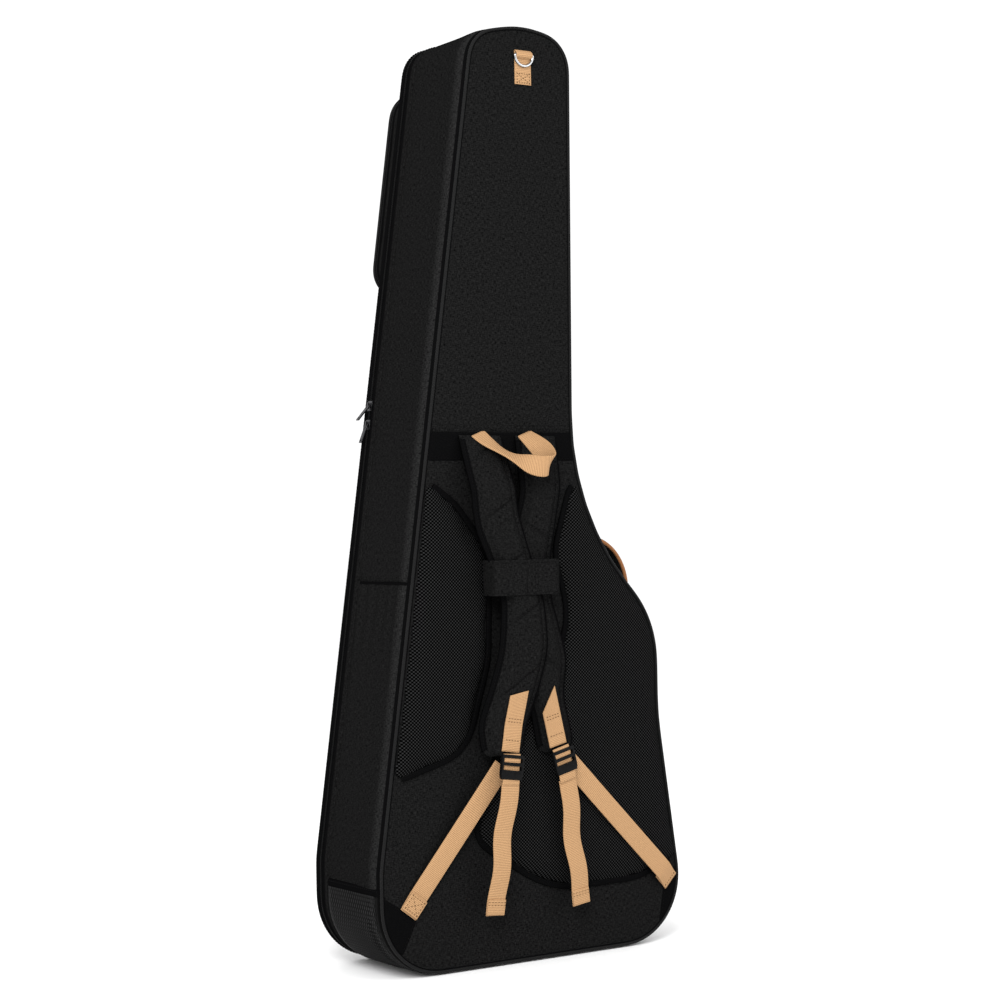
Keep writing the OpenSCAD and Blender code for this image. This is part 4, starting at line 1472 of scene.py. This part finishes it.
class GIGBAG_OT_hang_tab(bpy.types.Operator):
    """Folds the hang tab round its ring, and sews the box on it."""
    bl_idname = "gig_bag.hang_tab"
    bl_label = "Hang tab"

    def execute(self, context):
        node = "hang_tab"
        foot, head = low(node, Z), high(node, Z)
        bar_y, bar_z = (low("d_ring", Y) + high("d_ring", Y)) / 2, high("d_ring", Z) - 1.6 * MM
        x = (low(node, X) + high(node, X)) / 2
        under, over = BACK_Y - 0.9 * MM, BACK_Y - 1.9 * MM
        proud = bar_y - 2.3 * MM
        path = [(x, under, foot), (x, under, head + 2 * MM), (x, over, head + 2.8 * MM),
                (x, proud + 0.6 * MM, bar_z + 2.2 * MM), (x, proud, bar_z),
                (x, proud + 0.8 * MM, bar_z - 2 * MM), (x, over, bar_z - 4.5 * MM), (x, over, foot)]
        path = softened(spread(path, 0.7 * MM), 3)
        tab = sweep("hang_tab_web", path, (1, 0, 0), web_section(23.5 * MM, 1 * MM))
        done(tab, "bag", "webbing", finish("webbing"), node)
        centre = np.array([x, over - 0.7 * MM, foot + 7.5 * MM])
        rows = box_stitch(centre, (0, 0, 1), (1, 0, 0), (11 * MM, 18 * MM))
        sewn = stitches("hang_tab_stitches", rows, (0, BACK, 0), 3 * MM, 2.4 * MM, 0.9 * MM)
        done(sewn, "bag", "webbing", finish("tan_thread"))
        return {"FINISHED"}


class GIGBAG_OT_side_handle(bpy.types.Operator):
    """Builds the padded side handle with its tan edges, and the tabs that hold it."""
    bl_idname = "gig_bag.side_handle"
    bl_label = "Side handle"

    def execute(self, context):
        ends = np.array([[104, 499], [176, 403]]) * MM  # Where it is sewn on, in X and Z
        half = np.linalg.norm(ends[1] - ends[0]) / 2
        middle = ends.mean(axis=0)
        along = unit(ends[1] - ends[0])
        out = np.array([-along[1], along[0]])
        peak = 44.5 * MM
        y = (low("side_handle", Y) + high("side_handle", Y)) / 2
        radius = (half ** 2 + peak ** 2) / (2 * peak)
        reach = math.asin(min(1, half / radius)) * 0.93
        turn = np.linspace(-reach, reach, 60)
        centre = middle + out * (peak - radius)
        arc = centre + radius * (np.sin(turn)[:, None] * along + np.cos(turn)[:, None] * out)
        lean = 5 * MM * np.cos(turn / reach * math.pi / 2)  # Most in the middle of the arc
        arc = arc - lean[:, None] * along
        path = on_back_plane(arc[:, 0], arc[:, 1], np.full(len(arc), y))
        wide = 15 * MM
        pad = [[-wide, 0], [-wide, 1.6 * MM], [-wide * 0.8, 3.4 * MM], [-wide * 0.3, 4.2 * MM],
               [wide * 0.3, 4.2 * MM], [wide * 0.8, 3.4 * MM], [wide, 1.6 * MM], [wide, 0],
               [wide * 0.8, -2.6 * MM], [0, -2.8 * MM], [-wide * 0.8, -2.6 * MM]]
        from_end = np.minimum(lengths_along(path), lengths_along(path[::-1])[::-1])
        taper = 1 - 0.36 * np.exp(-(from_end / (16 * MM)) ** 2)
        grip = sweep("handle_grip", path, (0, 1, 0), np.array(pad), taper)
        done(grip, "side_handle", "canvas", finish("strap_canvas"), "side_handle")
        for side, name in ((-1, "near"), (1, "far")):
            edge = path + np.array([0, side * wide, 0]) * taper[:, None]
            section = np.array([[-1.6, -1.9], [-0.4, -2.4], [1.2, -1.6], [1.5, 0], [1.2, 1.6],
                                [-0.4, 2.4], [-1.6, 1.9], [-2.2, 0]]) * MM
            bound = sweep("handle_binding_" + name, edge, (0, side, 0), section)
            done(bound, "side_handle", "webbing", finish("binding"))
        near, far = low("handle_tabs", Y), high("handle_tabs", Y)
        knots = [(0.6, near), (3.1, near + 1.5 * MM), (3.2, y), (3.1, far - 1.5 * MM), (0.6, far)]
        for k, end in enumerate(ends):
            spot = BODY.find(end[1], 1)
            stretch = np.linspace(spot - 12 * MM, spot + 12 * MM, 12)
            profile = profile_through(knots, 1.5 * MM, 1)
            tab = rim(f"handle_tab_{k + 1}", BODY, stretch, profile,
                      lambda along, level, height: end_tuck(along, 1.5 * MM, 1.5 * MM))
            thicken(tab, sizes().skin)
            nodes = ("handle_tabs",) if k == 0 else ()
            done(tab, "bag", "canvas", finish("strap_canvas"), *nodes)
        return {"FINISHED"}


class GIGBAG_OT_buckles(bpy.types.Operator):
    """Rounds the ladder-lock buckles, and threads the webbing through them."""
    bl_idname = "gig_bag.buckles"
    bl_label = "Ladder-lock buckles"

    def execute(self, context):
        for side in ("left", "right"):
            node = "buckle_" + side
            shell = refined(node, node + "_shell", 0.8 * MM, 3)
            done(shell, node, "buckle", finish("buckle"), node)
            keep_edges(shell)
            sewn, tail = strip_run("sewn_web_" + side), strip_run("tail_web_" + side)
            y = (low(node, Y) + high(node, Y)) / 2
            top, foot = sewn[-1], tail[0]
            run = unit(foot - top)
            steps = np.linspace(0, 1, 14)[:, None]
            path = top + run * 2 * MM + (foot - top) * steps
            path[:, 1] = y + 0.4 * MM - 1.3 * MM * np.sin(steps[:, 0] * TAU * 1.5)
            webbing("threaded_web_" + side, path, 24 * MM, 1.8 * MM, node)
        return {"FINISHED"}


# ---- Lid and pockets ----

class GIGBAG_OT_lid(bpy.types.Operator):
    """Sews the lid: its rim, its padded panel and its edge stitches."""
    bl_idname = "gig_bag.lid"
    bl_label = "Lid"

    def execute(self, context):
        foot, head = BODY.ends(0.3 * MM)

        def rise(depth, x, z):
            edge = np.exp(-(depth / (4 * MM)) ** 1.4)
            drape = 0.5 * MM * ripple(x, z, 0.3, 2.7) * np.clip(depth / 0.05, 0, 1)
            return 1.2 * MM * (1 - np.exp(-depth / (20 * MM))) - 2.4 * MM * edge + drape
        cover = panel("lid_panel", BODY, LID_Y, FRONT, rise, foot, head, 220, 90)
        thicken(cover, sizes().skin)
        done(cover, "lid", "canvas", finish("canvas"), "lid_cover")
        start = low("lid_rim", Y)
        knots = [(-0.8, start - 0.6 * MM), (1.2, start + 0.2 * MM), (1.8, start + 2 * MM),
                 (1.9, LID_Y - 3 * MM), (1.2, LID_Y - 0.8 * MM), (-1.6, LID_Y - 1.4 * MM)]
        profile = profile_through(knots, 0.9 * MM, 2)
        rim_cloth = rim("lid_rim_cloth", BODY, round_the(BODY), profile, closed=True)
        done(rim_cloth, "lid", "canvas", finish("edge_tape"), "lid_rim")
        rows = [rim_run(round_the(BODY), 1.85 * MM, start + 3 * MM)]
        sewn = stitches("lid_rim_stitches", rows, outward_at, sizes().stitch)
        done(sewn, "lid", "canvas", finish("thread"))
        return {"FINISHED"}


class GIGBAG_OT_pockets(bpy.types.Operator):
    """Sews the neck pocket and the body pocket: walls, zips, covers and edge cords."""
    bl_idname = "gig_bag.pockets"
    bl_label = "Pockets"

    def execute(self, context):
        for name in ("neck_pocket", "body_pocket"):
            self.pocket(name)
        return {"FINISHED"}

    def pocket(self, name):
        """Sews one pocket: its wall and zip on the lid, and the cover that opens."""
        shape = Outline(face_loop(name + "_cover", Y, True), 4 * MM, 2)
        mouth = low(name + "_cover", Y)
        zip_near, zip_far = low(name + "_zip", Y), high(name + "_zip", Y)
        knots = [(2.2, LID_Y - 0.6 * MM), (1.0, LID_Y + 3 * MM), (1.3, LID_Y + 12 * MM),
                 (0.7, zip_near - 2 * MM), (-0.6, zip_near + 0.5 * MM)]
        profile = profile_through(knots, 2 * MM, 2)
        around = round_the(shape)

        def drape(along, level, height):
            return 0.5 * MM * ripple(along, level, 0.09, 1.9)
        wall = rim(name + "_wall_cloth", shape, around, profile, drape, closed=True)
        thicken(wall, sizes().skin)
        done(wall, "lid", "canvas", finish("canvas"), name + "_wall")
        knots = [(-0.2, zip_near - 0.5 * MM), (0.5, zip_near + 1 * MM), (0.5, zip_far - 1 * MM),
                 (0.1, zip_far + 1.6 * MM)]
        profile = profile_through(knots, 1 * MM, 1)
        tape = rim(name + "_zip_cloth", shape, around, profile, closed=True)
        thicken(tape, 0.6 * MM)
        done(tape, "lid", "zip", finish("zip"), name + "_zip")
        teeth = []
        for side in (-1, 1):
            place, normal = shape.at(around)
            run = place + normal * 0.8 * MM
            level = (zip_near + zip_far) / 2 + side * 0.7 * MM
            line = spread(on_back_plane(run[:, 0], run[:, 1], np.full(len(run), level)), 2.4 * MM)
            ahead = unit(np.gradient(line, axis=0))
            out = unit(np.cross(ahead, (0, -1, 0)))
            axes = np.stack([np.cross(out, ahead), ahead, out], axis=1)
            line = line + (1.2 * MM if side > 0 else 0) * ahead
            teeth.append((line, axes))
        coil = copies_of(name + "_zip_coil", bead(3.0 * MM, 1.3 * MM, 1.3 * MM, 5, 3),
                         np.vstack([t[0] for t in teeth]), np.vstack([t[1] for t in teeth]))
        done(coil, "lid", "zip", finish("coil"))
        body = name + "_cover"
        thick = high(body, Y) - mouth
        foot, head = shape.ends(0.2 * MM)

        def rise(depth, x, z):
            dome = (thick - 3.4 * MM) * (1 - np.exp(-(depth / (16 * MM)) ** 1.3))
            return 3.0 * MM + dome + 0.4 * MM * ripple(x, z, 0.2, 0.2) * np.clip(depth / 0.04, 0, 1)
        face = panel(name + "_face", shape, mouth, FRONT, rise, foot, head, 110, 70)
        thicken(face, 2.4 * MM)
        done(face, body, "canvas", finish("canvas"), body)
        place, normal = shape.at(round_the(shape, 4 * MM)[:-1])
        path = on_back_plane(*(place - normal * 0.6 * MM).T, np.full(len(place), mouth + 2.2 * MM))
        aside = on_back_plane(*normal.T, np.zeros(len(place)))
        cord = sweep(name + "_piping", path, aside, round_section(2.0 * MM, 10), closed=True)
        done(cord, body, "piping", finish("piping"))


# ---- Zip sliders and pulls ----

class GIGBAG_OT_sliders(bpy.types.Operator):
    """Rounds the sliders and pulls of all the zips."""
    bl_idname = "gig_bag.sliders"
    bl_label = "Sliders and pulls"

    def execute(self, context):
        for zip_name in ("main_{}_upper", "main_{}_lower", "neck_pocket_{}", "body_pocket_{}"):
            for kind, rounding in (("slider", 0.5 * MM), ("pull", 0.35 * MM)):
                node = zip_name.format(kind)
                piece = refined(node, node + "_cast", rounding, 3)
                done(piece, node, "slider_metal", finish("gunmetal"), node)
                keep_edges(piece)
        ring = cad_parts["d_ring"]
        ring.data.materials.clear()
        ring.data.materials.append(finish("chrome"))
        return {"FINISHED"}


# ---- Inside ----

class GIGBAG_OT_lining(bpy.types.Operator):
    """Lines the back, the side wall and the lid with plush."""
    bl_idname = "gig_bag.lining"
    bl_label = "Plush lining"

    def execute(self, context):
        wall_in, wall_out = 13.4, 1.6
        deep, edge = low("gusset_lining", Y), high("gusset_lining", Y)
        knots = [(-wall_in, deep + 0.3 * MM), (-wall_in - 0.3, deep + 20 * MM),
                 (-wall_in - 0.3, edge - 4 * MM), (-wall_in + 2, edge - 0.6 * MM),
                 (-wall_out - 2, edge - 0.5 * MM), (-wall_out, edge - 2 * MM)]
        profile = profile_through(knots, 3 * MM, 2)
        wall = rim("plush_wall", BODY, round_the(BODY), profile, closed=True)
        edit(wall, (bpy.ops.mesh.flip_normals, {}))
        done(wall, "bag", "plush", finish("plush"), "gusset_lining", "gusset_foam")
        inner = Outline(face_loop("back_lining", Y, True))
        foot, head = inner.ends(0.3 * MM)
        level = high("back_lining", Y)

        def cushion(depth, x, z):
            return 0.1 * MM * ripple(x, z, 0.15, 0.6) - 0.4 * MM
        floor = panel("plush_back", inner, level, FRONT, cushion, foot, head, 90, 40)
        thicken(floor, 0.8 * MM)
        done(floor, "bag", "plush", finish("plush"), "back_lining", "back_foam")
        foot, head = BODY.ends(3 * MM)
        level = low("lid_lining", Y)

        def quilted(depth, x, z):
            return -3.0 * MM * np.exp(-(depth / (5 * MM)) ** 2) + 0.1 * MM * ripple(x, z, 0.15, 0.6)
        inside = Outline(BODY.points - BODY.normals * 2 * MM)
        lid = panel("plush_lid", inside, level, BACK, quilted, foot, head, 120, 50)
        thicken(lid, 0.8 * MM)
        done(lid, "lid", "plush", finish("plush"), "lid_lining", "lid_foam")
        return {"FINISHED"}


class GIGBAG_OT_padding(bpy.types.Operator):
    """Fills the neck cradle, the head and tail pads, and lays the neck strap."""
    bl_idname = "gig_bag.padding"
    bl_label = "Inner padding"

    def execute(self, context):
        for node in ("neck_cradle", "head_pad", "tail_pad"):
            pad = refined(node, node + "_plush", 1 * MM, 1)
            keep_edges(pad)
            puff_up(pad, 5 * MM, 2.0, 1.5 * MM)
            modify(pad, "SMOOTH", factor=0.6, iterations=8)
            done(pad, "bag", "plush", finish("plush"), node)
        left, right = low("neck_strap", X), high("neck_strap", X)
        y = (low("neck_strap", Y) + high("neck_strap", Y)) / 2
        z = (low("neck_strap", Z) + high("neck_strap", Z)) / 2
        width = high("neck_strap", Z) - low("neck_strap", Z)
        path = np.array([[left, y, z], [right, y, z]])
        strap = sweep("neck_strap_web", spread(path, 4 * MM), (0, 0, 1), web_section(width, 1.5 * MM))
        done(strap, "neck_strap", "canvas", finish("edge_tape"), "neck_strap")
        return {"FINISHED"}


# ---- Stage ----

class BagStage(bpy.types.PropertyGroup):
    """Camera and light."""
    camera_at: FloatVectorProperty(name="Camera place", description="Where the camera stands",
                                   default=(-1.581, -2.3051, 0.5313), subtype="XYZ", size=3)
    camera_look: FloatVectorProperty(name="Camera direction", description="The way the camera looks",
                                     default=(0.5671, 0.8236, 0.0082), subtype="DIRECTION", size=3)
    camera_roll: FloatProperty(name="Camera roll", description="Turn about the camera's own line",
                               default=math.radians(-1.01), subtype="ANGLE")
    lens: FloatProperty(name="Lens", description="Focal length", default=81.93, unit="CAMERA",
                        min=20, max=200)
    key_power: FloatProperty(name="Key light", description="Power of the key light in watts",
                             default=115, min=0, max=1000)
    fill_power: FloatProperty(name="Fill light", description="Power of the fill light in watts",
                              default=28, min=0, max=1000)
    sky: FloatProperty(name="Surround", description="Brightness of the white surround",
                       default=1.1, min=0, max=5)


class GIGBAG_OT_stage(bpy.types.Operator):
    """Lays the pale floor, hangs the lights and places the camera."""
    bl_idname = "gig_bag.stage"
    bl_label = "Stage"

    def light(self, name, place, target, size, power):
        """Hangs a soft square light that looks at target."""
        deselect()
        bpy.ops.object.light_add(type="AREA", location=place)
        lamp = bpy.context.object
        lamp.name = name
        lamp.data.energy = power
        lamp.data.shape = "RECTANGLE"
        lamp.data.size, lamp.data.size_y = size
        look = Vector(target) - Vector(place)
        lamp.rotation_euler = look.to_track_quat("-Z", "Y").to_euler()

    def execute(self, context):
        stage = context.scene.gig_bag_stage
        deselect()
        bpy.ops.mesh.primitive_plane_add(size=1)
        floor = bpy.context.object
        floor.name = "floor"
        edit(floor, (bpy.ops.transform.resize, {"value": (60, 60, 1)}),
             (bpy.ops.mesh.subdivide, {"number_cuts": 3}))
        floor.data.materials.append(finish("floor"))
        middle = (0, 0, 0.55)
        self.light("key", (-2.0, -2.3, 2.4), middle, (1.2, 2.0), stage.key_power)
        self.light("fill", (2.0, -2.4, 1.5), middle, (1.6, 2.2), stage.fill_power)
        self.light("rim", (-1.6, 1.8, 1.5), middle, (0.9, 2.0), stage.fill_power * 0.2)
        world = bpy.data.worlds.new("surround")
        world.use_nodes = True
        sky = world.node_tree.nodes["Background"]
        sky.inputs["Color"].default_value = (1, 1, 1, 1)
        sky.inputs["Strength"].default_value = stage.sky
        context.scene.world = world
        context.scene.view_settings.view_transform = "Standard"
        deselect()
        bpy.ops.object.camera_add(location=stage.camera_at)
        camera = bpy.context.object
        camera.data.lens = stage.lens
        turn = Vector(stage.camera_look).to_track_quat("-Z", "Y").to_matrix()
        turn = turn @ Matrix.Rotation(stage.camera_roll, 3, "Z")
        camera.rotation_euler = turn.to_euler()
        context.scene.camera = camera
        return {"FINISHED"}


# ---- Add-on ----

OPERATORS = [
    GIGBAG_OT_stage, GIGBAG_OT_back, GIGBAG_OT_piping, GIGBAG_OT_side_wall, GIGBAG_OT_border,
    GIGBAG_OT_main_zip, GIGBAG_OT_guard, GIGBAG_OT_patches, GIGBAG_OT_mesh_pads,
    GIGBAG_OT_straps, GIGBAG_OT_webbing, GIGBAG_OT_keeper, GIGBAG_OT_haul_loop,
    GIGBAG_OT_hang_tab, GIGBAG_OT_side_handle, GIGBAG_OT_buckles, GIGBAG_OT_lid,
    GIGBAG_OT_pockets, GIGBAG_OT_sliders, GIGBAG_OT_lining, GIGBAG_OT_padding,
]
GROUPS = {"gig_bag_looks": BagLooks, "gig_bag_sizes": BagSizes, "gig_bag_stage": BagStage}


class GIGBAG_PT_panel(bpy.types.Panel):
    """Lists the bag's pieces and settings."""
    bl_idname = "GIGBAG_PT_panel"
    bl_label = "Gig Bag"
    bl_space_type = "VIEW_3D"
    bl_region_type = "UI"
    bl_category = "Gig Bag"

    def draw(self, context):
        column = self.layout.column()
        for operator in OPERATORS:
            column.operator(operator.bl_idname)
        for group in GROUPS:
            settings = getattr(context.scene, group)
            for name in settings.__annotations__:
                column.prop(settings, name)


def register():
    """Adds the bag's settings, operators and panel to Blender."""
    for group in (*GROUPS.values(), *OPERATORS, GIGBAG_PT_panel):
        bpy.utils.register_class(group)
    for name, group in GROUPS.items():
        setattr(bpy.types.Scene, name, PointerProperty(type=group))


def unregister():
    """Takes them away again."""
    for name in GROUPS:
        delattr(bpy.types.Scene, name)
    for group in (GIGBAG_PT_panel, *reversed(OPERATORS), *GROUPS.values()):
        bpy.utils.unregister_class(group)


def main():
    """Builds every piece."""
    register()
    for operator in OPERATORS:
        package, name = operator.bl_idname.split(".")
        getattr(getattr(bpy.ops, package), name)()


if __name__ == "__main__":
    main()
